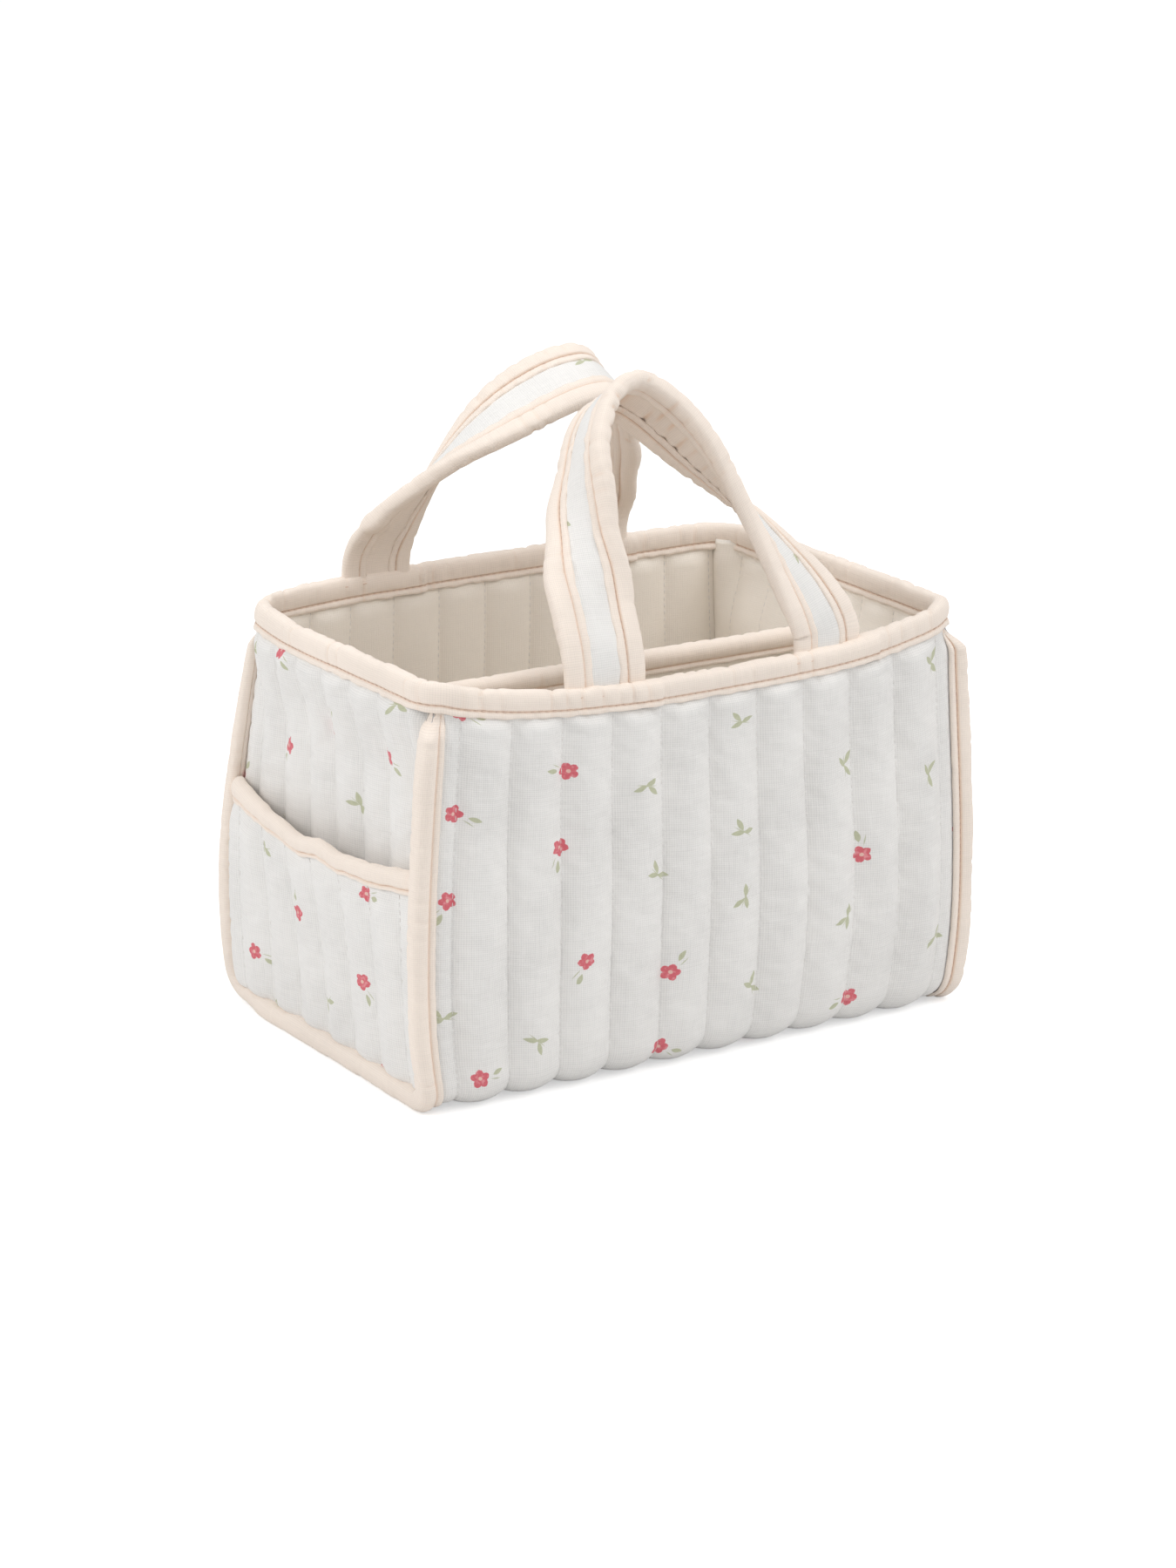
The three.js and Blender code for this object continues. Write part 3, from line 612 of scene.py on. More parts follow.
@dataclass(frozen=True)
class Box:
    """The soft box: its tidy sizes, the layers of its walls and how the cloth gives way."""

    length: float = 280
    depth: float = 200
    height: float = 205
    base_radius: float = 13
    cover: float = 1
    cover_puff: float = 4
    loft: float = 5.0
    wadding: float = 2.4
    lining: float = 0.9
    lining_puff: float = 3
    clearance: float = 0.3
    ease: float = 0.6
    binding_pad: float = 2.4
    rim_height: float = 13
    rim_corner: float = 16
    rim_overhang: float = 8
    rim_grip: float = 5
    front_dip: float = 13
    rim_bow: float = 4
    wall_belly: float = 7
    end_belly: float = 6
    corner_tuck: float = 12
    corner_draw: float = 12
    waver: float = 1.0
    waver_span: float = 75

    @property
    def half_length(self) -> float:
        """From the middle to an end seam."""
        return self.length / 2

    @property
    def half_depth(self) -> float:
        """From the middle to a long wall's stitching plane."""
        return self.depth / 2

    @property
    def wall(self) -> float:
        """Thickness of a wall at a stitching line."""
        return self.cover + self.wadding + self.lining + 2 * self.clearance

    @property
    def grip(self) -> float:
        """Half of the slot in a binding over a wall."""
        return self.wall / 2 + self.ease

    @property
    def roll_half(self) -> float:
        """Half of the thickness of a binding over a wall."""
        return self.grip + self.binding_pad

    @property
    def base_plane(self) -> float:
        """Height of the base's stitching lines, where the channels are pressed flat on the floor."""
        return self.cover_puff * math.sin(math.pi / 4)

    @property
    def rim_bottom(self) -> float:
        """Height of the rim's lips."""
        return self.height - self.rim_height

    @property
    def rim_half_length(self) -> float:
        """From the middle to the rim's centre line along X."""
        return self.half_length - self.wall / 2 + self.rim_overhang

    @property
    def rim_half_depth(self) -> float:
        """From the middle to the rim's centre line along Y."""
        return self.half_depth - self.wall / 2

    def slump(self, x: float, y: float, z: float) -> Vector:
        """Where a point of the tidy box lies once the cloth has given way.

        Args:
            x: Place along the length.
            y: Place along the depth.
            z: Height.

        Returns:
            The point on the slack box.
        """
        across = x / self.half_length
        deep = y / self.half_depth
        up = clamp(z / self.height)
        belly = BELLY_SCALE * up * (1 - up) ** 2
        span = max(0.0, 1 - abs(across) ** 3)
        dip = self.front_dip * clamp((1 - deep) / 2)
        tuck = self.corner_tuck * clamp(-across) ** 3 * clamp(deep) ** 2 * up * up
        return Vector((
            x + self.end_belly * across * deep * deep * belly + tuck,
            y + deep * span * (self.wall_belly * belly + self.rim_bow * up * up) - tuck,
            z - dip * span * up * up,
        ))

    def give(self, x: float, y: float, z: float) -> Vector:
        """The same with the uneven hang of soft cloth, which fades towards the floor.

        Args:
            x: Place along the length.
            y: Place along the depth.
            z: Height.

        Returns:
            The point on the slack box.
        """
        point = self.slump(x, y, max(0.0, z))
        drift = noise.noise_vector(point / self.waver_span)
        point += drift * (self.waver * smoothstep(z, 0, 40))
        point.z = max(0.0, point.z)
        return point

    def tuck(self, x: float, y: float, z: float) -> Vector:
        """The same for a wall, whose corners draw in to pass under the rim's round corners.

        Args:
            x: Place along the length.
            y: Place along the depth.
            z: Height.

        Returns:
            The point on the slack box.
        """
        out_x = abs(x) - (self.rim_half_length - self.rim_corner)
        out_y = abs(y) - (self.rim_half_depth - self.rim_corner)
        if min(out_x, out_y) > 0:
            reach = math.hypot(out_x, out_y)
            share = min(1.0, (self.rim_corner + self.wall / 2) / reach)
            drawn = smoothstep(z, self.rim_bottom - self.corner_draw, self.rim_bottom - 1)
            pull = (1 - share) * drawn * smoothstep(min(out_x, out_y) / reach, 0, 0.5)
            x -= math.copysign(out_x * pull, x)
            y -= math.copysign(out_y * pull, y)
        return self.give(x, y, z)


@dataclass(frozen=True)
class Column:
    """A column of points across a quilted panel."""

    u: float
    share: float
    fullness: float
    channel: int


@dataclass(frozen=True)
class Quilt:
    """Stitched channels of a padded panel."""

    pitch: float = 26.5
    least: float = 5
    steps: int = 12
    bow: float = 0.19
    uneven: float = 0.10
    pucker: float = 0.05
    seed: float = 0.0
    narrow: float = 0.22
    bunching: float = 0.65

    def lines(self, border: float) -> list[float]:
        """Stitching lines across a panel: a pitch apart from its middle, and one on each border."""
        count = math.floor((border - self.least) / self.pitch)
        return [-border, *(k * self.pitch for k in range(-count, count + 1)), border]

    def columns(self, border: float, edge: float) -> list[Column]:
        """Columns of points across a panel, closest beside the stitching lines.

        Args:
            border: The outermost stitching lines.
            edge: Where the cloth ends.

        Returns:
            The columns, from one edge to the other.
        """
        lines = self.lines(border)
        found = [Column(-edge, 0, 0, 0)] if edge > border else []
        for channel, (low, high) in enumerate(zip(lines, lines[1:])):
            width = high - low
            fullness = min(1.0, width / self.pitch) if width > self.pitch / 2 else self.narrow
            steps = max(4, round(self.steps * width / self.pitch))
            for step in range(steps):
                even = step / steps
                share = lerp(even, (1 - math.cos(math.pi * even)) / 2, self.bunching)
                found.append(Column(low + width * share, share, fullness, channel))
        found.append(Column(border, 0, 0, len(lines)))
        if edge > border:
            found.append(Column(edge, 0, 0, len(lines)))
        return found

    def swell(self, column: Column, along: float) -> float:
        """How far a point stands up between its stitching lines, as a share of a full puff.

        Args:
            column: The point's column.
            along: Its place along the channel.

        Returns:
            0 on a stitching line and about 1 on a crest.
        """
        if column.share <= 0:
            return 0.0
        radius = (0.25 + self.bow ** 2) / (2 * self.bow)
        arch = (math.sqrt(radius ** 2 - (column.share - 0.5) ** 2) - radius + self.bow) / self.bow
        drift = ripple(along / 52, column.channel * 3.7, self.seed)
        drift += 0.6 * ripple(along / 21, column.u / 16, self.seed)
        gather = math.sin(2 * math.pi * column.share) ** 2
        tucks = ripple(along / 6.5, column.u / 11, self.seed + 5.3)
        return column.fullness * (arch * (1 + self.uneven * drift) + self.pucker * gather * tucks)


def squeeze(u: float, full: float, edge: float, knee: float = 5) -> float:
    """Draws the outermost columns in, so that a row ends at a nearer edge than the others.

    Args:
        u: Place across the panel.
        full: Where the other rows end.
        edge: Where this row ends.
        knee: How much of its end is drawn in.

    Returns:
        The place across this row.
    """
    beyond = abs(u) - (edge - knee)
    if beyond <= 0:
        return u
    return math.copysign(edge - knee + beyond * knee / (full - edge + knee), u)


@dataclass(frozen=True)
class Roll:
    """Section of a padded strip folded over an edge: stitched lips and a rolled fold.

    Its first axis runs from the lips to the fold, and its second across the edge that it grips.
    """

    reach: float
    half: float
    grip: float
    lips: float = 0.0
    crown: float = 2.0
    lip_height: float = 3.2
    flatness: float = 0.85
    turns: int = 17
    dip: float = 0.78
    thread_out: float = 0.45

    @property
    def seam(self) -> float:
        """Where the stitches lie, on the way from the lips to the fold."""
        return self.lips + self.lip_height

    @property
    def rise(self) -> float:
        """Radius of the fold, which runs on below its middle by its dip."""
        return (self.reach - self.seam) / (1 + self.dip)

    def outline(self) -> list[tuple[float, float]]:
        """The shown side of the strip.

        Returns:
            The section's points, from one lip over the fold to the other.
        """
        grip, seam, rise = self.grip, self.seam, self.rise
        lip = [(self.lips, grip - 0.2), (self.lips + 0.5, grip + 1.15), (self.lips + 1.5, grip + 1.3),
               (seam - 0.9, grip + 0.95), (seam - 0.2, grip + 0.1), (seam + 0.2, grip + 0.1)]
        low = math.asin(-self.dip)
        fold = []
        for i in range(self.turns):
            turn = lerp(low, math.pi - low, i / (self.turns - 1))
            side = math.copysign(abs(math.cos(turn)) ** self.flatness, -math.cos(turn))
            fold.append((self.reach - rise + rise * math.sin(turn), self.half * side))
        return [*((a, -b) for a, b in lip), *fold, *reversed(lip)]

    def seams(self) -> list[tuple[float, float]]:
        """Where the two rows of stitches lie."""
        out = self.grip + self.thread_out
        return [(self.seam, -out), (self.seam, out)]

    def lining(self, a: float, b: float) -> tuple[float, float]:
        """The hidden side behind a point of the shown one."""
        return min(a, self.reach - self.crown), clamp(b, -self.grip, self.grip)


@dataclass(frozen=True)
class Creasing:
    """Creases and frills of a strip, and the shade painted into its creases and stitched line."""

    crease: float = 0.55
    spacing: float = 9.0
    slant: float = 0.5
    frill: float = 0.55
    swell: float = 0.28
    seed: float = 0.0
    seam_width: float = 0.8

    def fold(self, along: float, a: float, b: float) -> float:
        """How deep in a crease a point lies.

        Args:
            along: Place along the strip.
            a: Place from the lips to the fold.
            b: Place across.

        Returns:
            A share from 0 to 1.
        """
        slide = along + self.slant * b + 0.25 * self.slant * a
        drift = 0.6 * ripple(slide / (2.3 * self.spacing), b / 14, self.seed)
        patch = smoothstep(ripple(along / 19, b / 20, self.seed + 9), -0.3, 0.4)
        return furrow(slide / self.spacing + drift) * patch

    def painted_shade(self, roll: Roll, along: float, a: float, b: float, strength: float = 1.0) -> float:
        """How much shade is painted on a point, for lying in a crease or in the stitched line.

        Args:
            roll: The strip's section.
            along: Place along the strip.
            a: Place from the lips to the fold.
            b: Place across.
            strength: How much the strip is creased there.

        Returns:
            A share from 0 to 1.
        """
        line = bell(a - roll.seam, self.seam_width)
        return clamp(max(0.9 * line, 0.5 * self.crease * strength * self.fold(along, a, b)))

    def offset(self, roll: Roll, along: float, a: float, b: float,
               strength: float = 1.0) -> tuple[float, float]:
        """How far a point of a strip's outline is moved.

        Args:
            roll: The strip's section.
            along: Place along the strip.
            a: Place from the lips to the fold.
            b: Place across.
            strength: How much the strip is creased there.

        Returns:
            The move along both axes of the section.
        """
        seam, rise = roll.seam, roll.rise
        way = math.copysign(1, b)
        if a < seam + 0.1:
            share = clamp((seam - a) / roll.lip_height)
            flutter = ripple(along / 4.6, way * 3 + self.seed) + 0.6 * ripple(along / 11, way * 5 + self.seed)
            return (0.9 * self.frill * share * ripple(along / 8, way * 7 + self.seed),
                    way * self.frill * share * max(-0.5, flutter))
        ray = Vector((a - (roll.reach - rise), b * rise / roll.half))
        ray.normalize()
        plump = ripple(along / 24, b / 12, self.seed + 3) + 0.7 * ripple(along / 9, b / 7, self.seed + 4)
        lift = strength * (self.swell * plump - self.crease * self.fold(along, a, b))
        firm = smoothstep(a, seam, seam + 2)
        return ray.x * lift * firm, ray.y * lift * firm


@dataclass(frozen=True)
class Strip:
    """A padded binding run along its stations."""

    name: str
    roll: Roll
    creasing: Creasing
    joined: bool = False
    cut: float = 700

    def spot(self, station: object, a: float, b: float, place: Place, taper: Share) -> Vector:
        """Where a point of the section lies at a station, drawn to the lips where the strip is thin."""
        thin = taper(station)
        return place(station, lerp(self.roll.lips, a, thin), b * thin)

    def build(self, stations: Sequence, along: Sequence[float], place: Place,
              strength: Callable[[object, float], float] = lambda station, b: 1.0,
              taper: Share = lambda station: 1.0) -> bpy.types.Object:
        """Builds the strip.

        Args:
            stations: What the strip follows.
            along: Each station's place along it.
            place: Where a point of the section lies at a station.
            strength: How much the strip is creased at a station, by the side of the section.
            taper: How thick the strip is at a station.

        Returns:
            The strip.
        """
        outline = self.roll.outline()
        widths = [0.0]
        for (a0, b0), (a1, b1) in zip(outline, outline[1:]):
            widths.append(widths[-1] + math.hypot(a1 - a0, b1 - b0))
        rows = len(stations) + (1 if self.joined else 0)

        def outer(row: int, column: int) -> Vector:
            """A point of the shown side.

            Args:
                row: Its row.
                column: Its column.

            Returns:
                The point.
            """
            a, b = outline[column]
            da, db = self.creasing.offset(self.roll, along[row], a, b, strength(stations[row], b))
            return self.spot(stations[row], a + da, b + db, place, taper)

        def inner(row: int, column: int) -> Vector:
            """A point of the hidden side."""
            return self.spot(stations[row], *self.roll.lining(*outline[column]), place, taper)

        def flat(row: int, column: int) -> tuple[float, float]:
            """A point of the uncut cloth."""
            far = along[row] if row < len(along) else along[-1] + (along[1] - along[0])
            return far + self.cut * self.creasing.seed, widths[column]

        def painted_shade(row: int, column: int) -> float:
            """How much shade is painted on a point, in a crease or the stitched line."""
            a, b = outline[column]
            return self.creasing.painted_shade(self.roll, along[row], a, b, strength(stations[row], b))

        return shell(self.name, rows, len(outline), outer, inner, flat, self.joined, painted_shade=painted_shade)

    def seams(self, stations: Sequence, place: Place,
              taper: Share = lambda station: 1.0) -> list[list[Vector]]:
        """The strip's two stitched lines.

        Args:
            stations: What the strip follows.
            place: Where a point of the section lies at a station.
            taper: How thick the strip is at a station.

        Returns:
            The points of each line.
        """
        close = [*stations, stations[0]] if self.joined else stations
        return [[self.spot(station, a, b, place, taper) for station in close] for a, b in self.roll.seams()]


@dataclass(frozen=True)
class Row:
    """A row of points of a wall: its place, the way into the box, and how full and wide it is."""

    y: float
    z: float
    ny: float
    nz: float
    v: float
    puff: float
    edge: float


def rounded_rows(box: Box, top: float, bottom: float, half: float, step: float, arc_steps: int,
                 puff: Share) -> list[Row]:
    """Rows down a panel whose lower corners follow the base's rounding.

    Args:
        box: The box that it belongs to.
        top: Height of the first row.
        bottom: Height of the last row.
        half: From the middle to its side seams.
        step: Distance between rows.
        arc_steps: Rows in the rounding.
        puff: How full its channels are at a height.

    Returns:
        The rows.
    """
    radius = box.base_plane + box.base_radius - bottom
    found = []
    for drop in spread(top - bottom - radius, step):
        z = top - drop
        found.append(Row(0, z, 0, 0, drop, puff(z), half))
    for i in range(1, arc_steps + 1):
        turn = math.pi / 2 * i / arc_steps
        z = bottom + radius * (1 - math.sin(turn))
        found.append(Row(0, z, 0, 0, top - z, math.cos(turn), half - radius * (1 - math.cos(turn))))
    return found


def quilted(name: str, rows: Sequence[Row], columns: Sequence[Column], place: Place,
            depth: Callable[[Row, Column], float], back: float, flat: Flat,
            held: Hold | None = None) -> bpy.types.Object:
    """Sews one quilted layer.

    Args:
        name: The piece's name.
        rows: Its rows.
        columns: Its columns.
        place: Where a point lies, by its row, its place across and its depth.
        depth: How deep a point of the shown face lies.
        back: How deep the hidden face lies.
        flat: Where a point lies on the cloth before it is sewn.
        held: Whether a point of the shown face stays in place when the piece is swollen, if it is.

    Returns:
        The layer.
    """
    return shell(name, len(rows), len(columns),
                 lambda i, j: place(rows[i], columns[j].u, depth(rows[i], columns[j])),
                 lambda i, j: place(rows[i], columns[j].u, back), flat, held=held)


@dataclass(frozen=True)
class Fin:
    """Side edges of the wrap, which stand out beyond the end seams and are bound."""

    box: Box
    reach: float = 12.5
    top_reach: float = 11
    crown: float = 1.5
    standoff: float = 0.3
    taper: float = 40
    crushed: float = 0.65
    crush_start: float = 45
    crush_end: float = 6

    def out(self, z: float) -> float:
        """How far the binding stands out at a height."""
        low = self.box.rim_bottom - self.taper
        return lerp(self.reach, self.top_reach, smoothstep(z, low, self.box.rim_bottom))

    def share(self, y: float) -> float:
        """How much of the fin is left at a depth: the back edges are crushed."""
        back = self.box.half_depth
        return lerp(1.0, self.crushed, smoothstep(y, back - self.crush_start, back - self.crush_end))

    def edge(self, y: float, z: float) -> float:
        """Where the wrap's cloth ends at a depth and a height."""
        return self.box.half_length + (self.out(z) - self.crown - self.box.clearance) * self.share(y)


def wall_puff(box: Box, z: float) -> float:
    """How full a wall's channels are at a height: drawn flat under the rim."""
    return lerp(1.0, 0.0, smoothstep(z, box.rim_bottom - 6, box.rim_bottom + 1.5)) * lerp(
        1.0, 0.93, smoothstep(z, box.rim_bottom - 70, box.rim_bottom - 12))


@dataclass
class Wall:
    """What the quilted walls share: a printed cover and a lining, sewn together along their channels."""

    box: Box
    quilt: Quilt

    def rows(self) -> list[Row]:
        """The wall's rows."""
        raise NotImplementedError

    def place(self, row: Row, u: float, depth: float) -> Vector:
        """Where a point of the wall lies, at a depth from its outer stitching plane."""
        raise NotImplementedError

    def sew_layers(self, name: str, columns: Sequence[Column], border: float, loft: Callable[[Row], float],
                   held: Callable[[Row], bool], shift: float = 0.0) -> None:
        """Builds the cover, the lining and the quilting stitches.

        Args:
            name: Start of the pieces' names.
            columns: The wall's columns.
            border: The outermost stitching lines.
            loft: How far the cover's crests stand out in a row.
            held: Whether a row of the cover is held in place.
            shift: Where the cover starts on the printed cloth.
        """
        box, quilt = self.box, self.quilt
        rows = self.rows()
        middle = box.cover + box.clearance + box.wadding

        def cover(row: Row, line: Column) -> float:
            """How deep a point of the cover's shown face lies."""
            return -loft(row) * row.puff * quilt.swell(line, row.v)

        def lining(row: Row, line: Column) -> float:
            """How deep a point of the lining's shown face lies."""
            return box.wall + box.lining_puff * row.puff * quilt.swell(line, row.v + LINING_DRAW)

        def flat(row: int, column: int) -> tuple[float, float]:
            """A point of the uncut cloth."""
            return columns[column].u + shift, rows[row].v

        shown = quilted(f"{name}_quilt", rows, columns, self.place, cover, middle, flat,
                        lambda i, j: columns[j].share <= 0 or held(rows[i]))
        dress(Swell().settle(shown), PRINTED, [f"{name}_cover", f"{name}_wadding"])
        hidden = middle + box.clearance
        inside = quilted(f"{name}_lining_quilt", rows, columns, self.place, lining, hidden, flat)
        dress(inside, LINING, [f"{name}_lining"])
        seams = [[self.place(row, u, depth) for row in rows]
                 for u in quilt.lines(border)[1:-1] for depth in (0.0, box.wall)]
        dress(sew(f"{name}_stitches", seams), WHITE_THREAD)


@dataclass
class Wrap(Wall):
    """Front wall, base and back wall in one quilted piece."""

    fin: Fin
    step: float = 2.6
    base_step: float = 6
    arc_steps: int = 9
    floor_loft: float = 0.68

    def rows(self) -> list[Row]:
        """Rows of the wrap.

        Returns:
            The rows down the front, under the base and up the back.
        """
        box = self.box
        top = box.rim_bottom + box.rim_grip
        low = box.base_plane + box.base_radius
        front = [(-box.half_depth, top - drop, 1.0, 0.0) for drop in spread(top - low, self.step)]
        for i in range(1, self.arc_steps + 1):
            turn = math.pi / 2 * i / self.arc_steps
            front.append((
                -box.half_depth + box.base_radius * (1 - math.cos(turn)),
                box.base_plane + box.base_radius * (1 - math.sin(turn)),
                math.cos(turn),
                math.sin(turn),
            ))
        flat = box.half_depth - box.base_radius
        base = [(y - flat, box.base_plane, 0.0, 1.0) for y in spread(2 * flat, self.base_step)[1:-1]]
        back = [(-y, z, -ny, nz) for y, z, ny, nz in reversed(front)]
        found = []
        travelled = 0.0
        before = None
        for y, z, ny, nz in [*front, *base, *back]:
            if before:
                travelled += math.hypot(y - before[0], z - before[1])
            before = (y, z)
            found.append(Row(y, z, ny, nz, travelled, wall_puff(box, z), self.fin.edge(y, z)))
        return found

    def place(self, row: Row, u: float, depth: float) -> Vector:
        """Where a point of the wrap lies, at a depth from its outer stitching plane."""
        x = squeeze(u, self.fin.edge(0, 0), row.edge)
        return self.box.tuck(x, row.y + row.ny * depth, row.z + row.nz * depth)

    def build(self) -> None:
        """Builds the wrap, held under the rim and where it rests on the floor."""
        box = self.box
        columns = self.quilt.columns(box.half_length, self.fin.edge(0, 0))
        self.sew_layers("wrap", columns, box.half_length,
                        lambda row: box.loft * lerp(self.floor_loft, 1, smoothstep(row.z, 4, 50)),
                        lambda row: row.z > box.rim_bottom - 2 or row.nz > 0.9)


@dataclass
class EndWall(Wall):
    """A quilted end wall, which flares out at the top to meet the rim."""

    side: Side
    flare_height: float = 40
    pocket_top: float = 118
    pocket_fade: float = 14
    print_shift: float = 500
    step: float = 2.6
    arc_steps: int = 5

    @property
    def half(self) -> float:
        """From the middle to its side seams."""
        return self.box.half_depth - self.box.wall - self.box.clearance

    def flare(self, y: float, z: float) -> float:
        """How far the wall stands out at a point.

        Args:
            y: Place along the depth.
            z: Height.

        Returns:
            The distance along X.
        """
        box = self.box
        straight = box.rim_half_depth - box.rim_corner
        rise = smoothstep(z, box.rim_bottom - self.flare_height, box.rim_bottom)
        pocket = box.rim_half_depth - box.roll_half - box.ease
        return box.rim_overhang * rise * (1 - smoothstep(abs(y), straight, pocket))

    def rows(self) -> list[Row]:
        """Rows of the wall.

        Returns:
            The rows from the rim down, with lower corners that follow the base's rounding.
        """
        box = self.box
        top = box.rim_bottom + box.rim_grip
        bottom = box.base_plane + box.wall + box.clearance
        return rounded_rows(box, top, bottom, self.half, self.step, self.arc_steps,
                            lambda z: wall_puff(box, z))

    def place(self, row: Row, u: float, depth: float) -> Vector:
        """Where a point of the wall lies.

        Args:
            row: Its row.
            u: Its place across.
            depth: Its depth from the outer stitching plane.

        Returns:
            The point.
        """
        y = squeeze(u, self.half, row.edge)
        x = self.box.half_length + self.flare(y, row.z) - depth
        return self.box.tuck(self.side.value * x, y, row.z)

    def build(self) -> None:
        """Builds the wall, held under the rim and behind the pocket."""
        box, top = self.box, self.pocket_top

        def loft(row: Row) -> float:
            """How far the crests stand out: less behind the pocket."""
            return lerp(box.cover_puff, box.loft, smoothstep(row.z, top, top + self.pocket_fade))

        self.sew_layers(f"{self.side.name.lower()}_end", self.quilt.columns(self.half, self.half), self.half,
                        loft, lambda row: not top < row.z < box.rim_bottom - 2,
                        self.print_shift * self.side.value)


@dataclass
class EndBinding:
    """Padded strip over a fin: down the front edge, along the base and up the back edge."""

    box: Box
    fin: Fin
    wrap: Wrap
    side: Side
    end_taper: float = 7
    end_share: float = 0.6

    def place(self, row: Row, a: float, b: float) -> Vector:
        """Where a point of the strip's section lies.

        Args:
            row: The wrap's row.
            a: Place from the lips to the fold.
            b: Place across the wrap's edge.

        Returns:
            The point.
        """
        box, fin = self.box, self.fin
        depth = box.wall / 2 + b
        out = fin.standoff + (a - fin.standoff) * fin.out(row.z) / fin.reach
        x = self.side.value * (box.half_length + out)
        return box.tuck(x, row.y + row.ny * depth, row.z + row.nz * depth)

    def taper(self, row: Row) -> float:
        """How thick the strip is: pressed flat where the rim is sewn over its ends."""
        near_rim = smoothstep(row.z, self.box.rim_bottom - self.end_taper, self.box.rim_bottom)
        return lerp(1.0, self.end_share, near_rim) * self.fin.share(row.y)

    def build(self) -> None:
        """Builds the strip and its stitches."""
        box, fin = self.box, self.fin
        rows = [row for row in self.wrap.rows() if row.z < box.rim_bottom + 3]
        fine = []
        for row, after in zip(rows, rows[1:]):
            mid = Row(*((p + q) / 2 for p, q in zip(vars(row).values(), vars(after).values())))
            fine.extend((row, mid))
        fine.append(rows[-1])
        name = self.side.name.lower()
        roll = Roll(fin.reach, box.roll_half, box.grip, lips=fin.standoff, crown=fin.crown,
                    lip_height=4, flatness=0.7)
        creasing = Creasing(seed=2.0 + self.side.value, crease=0.7, frill=0.3, swell=0.4)
        strip = Strip(f"{name}_end_strip", roll, creasing)
        along = [row.v for row in fine]
        piece = strip.build(fine, along, self.place, taper=self.taper)
        dress(piece, BLUSH, [f"{name}_end_binding"])
        seams = strip.seams(fine, self.place, self.taper)
        dress(sew(f"{name}_end_strip_stitches", seams), BLUSH_THREAD)


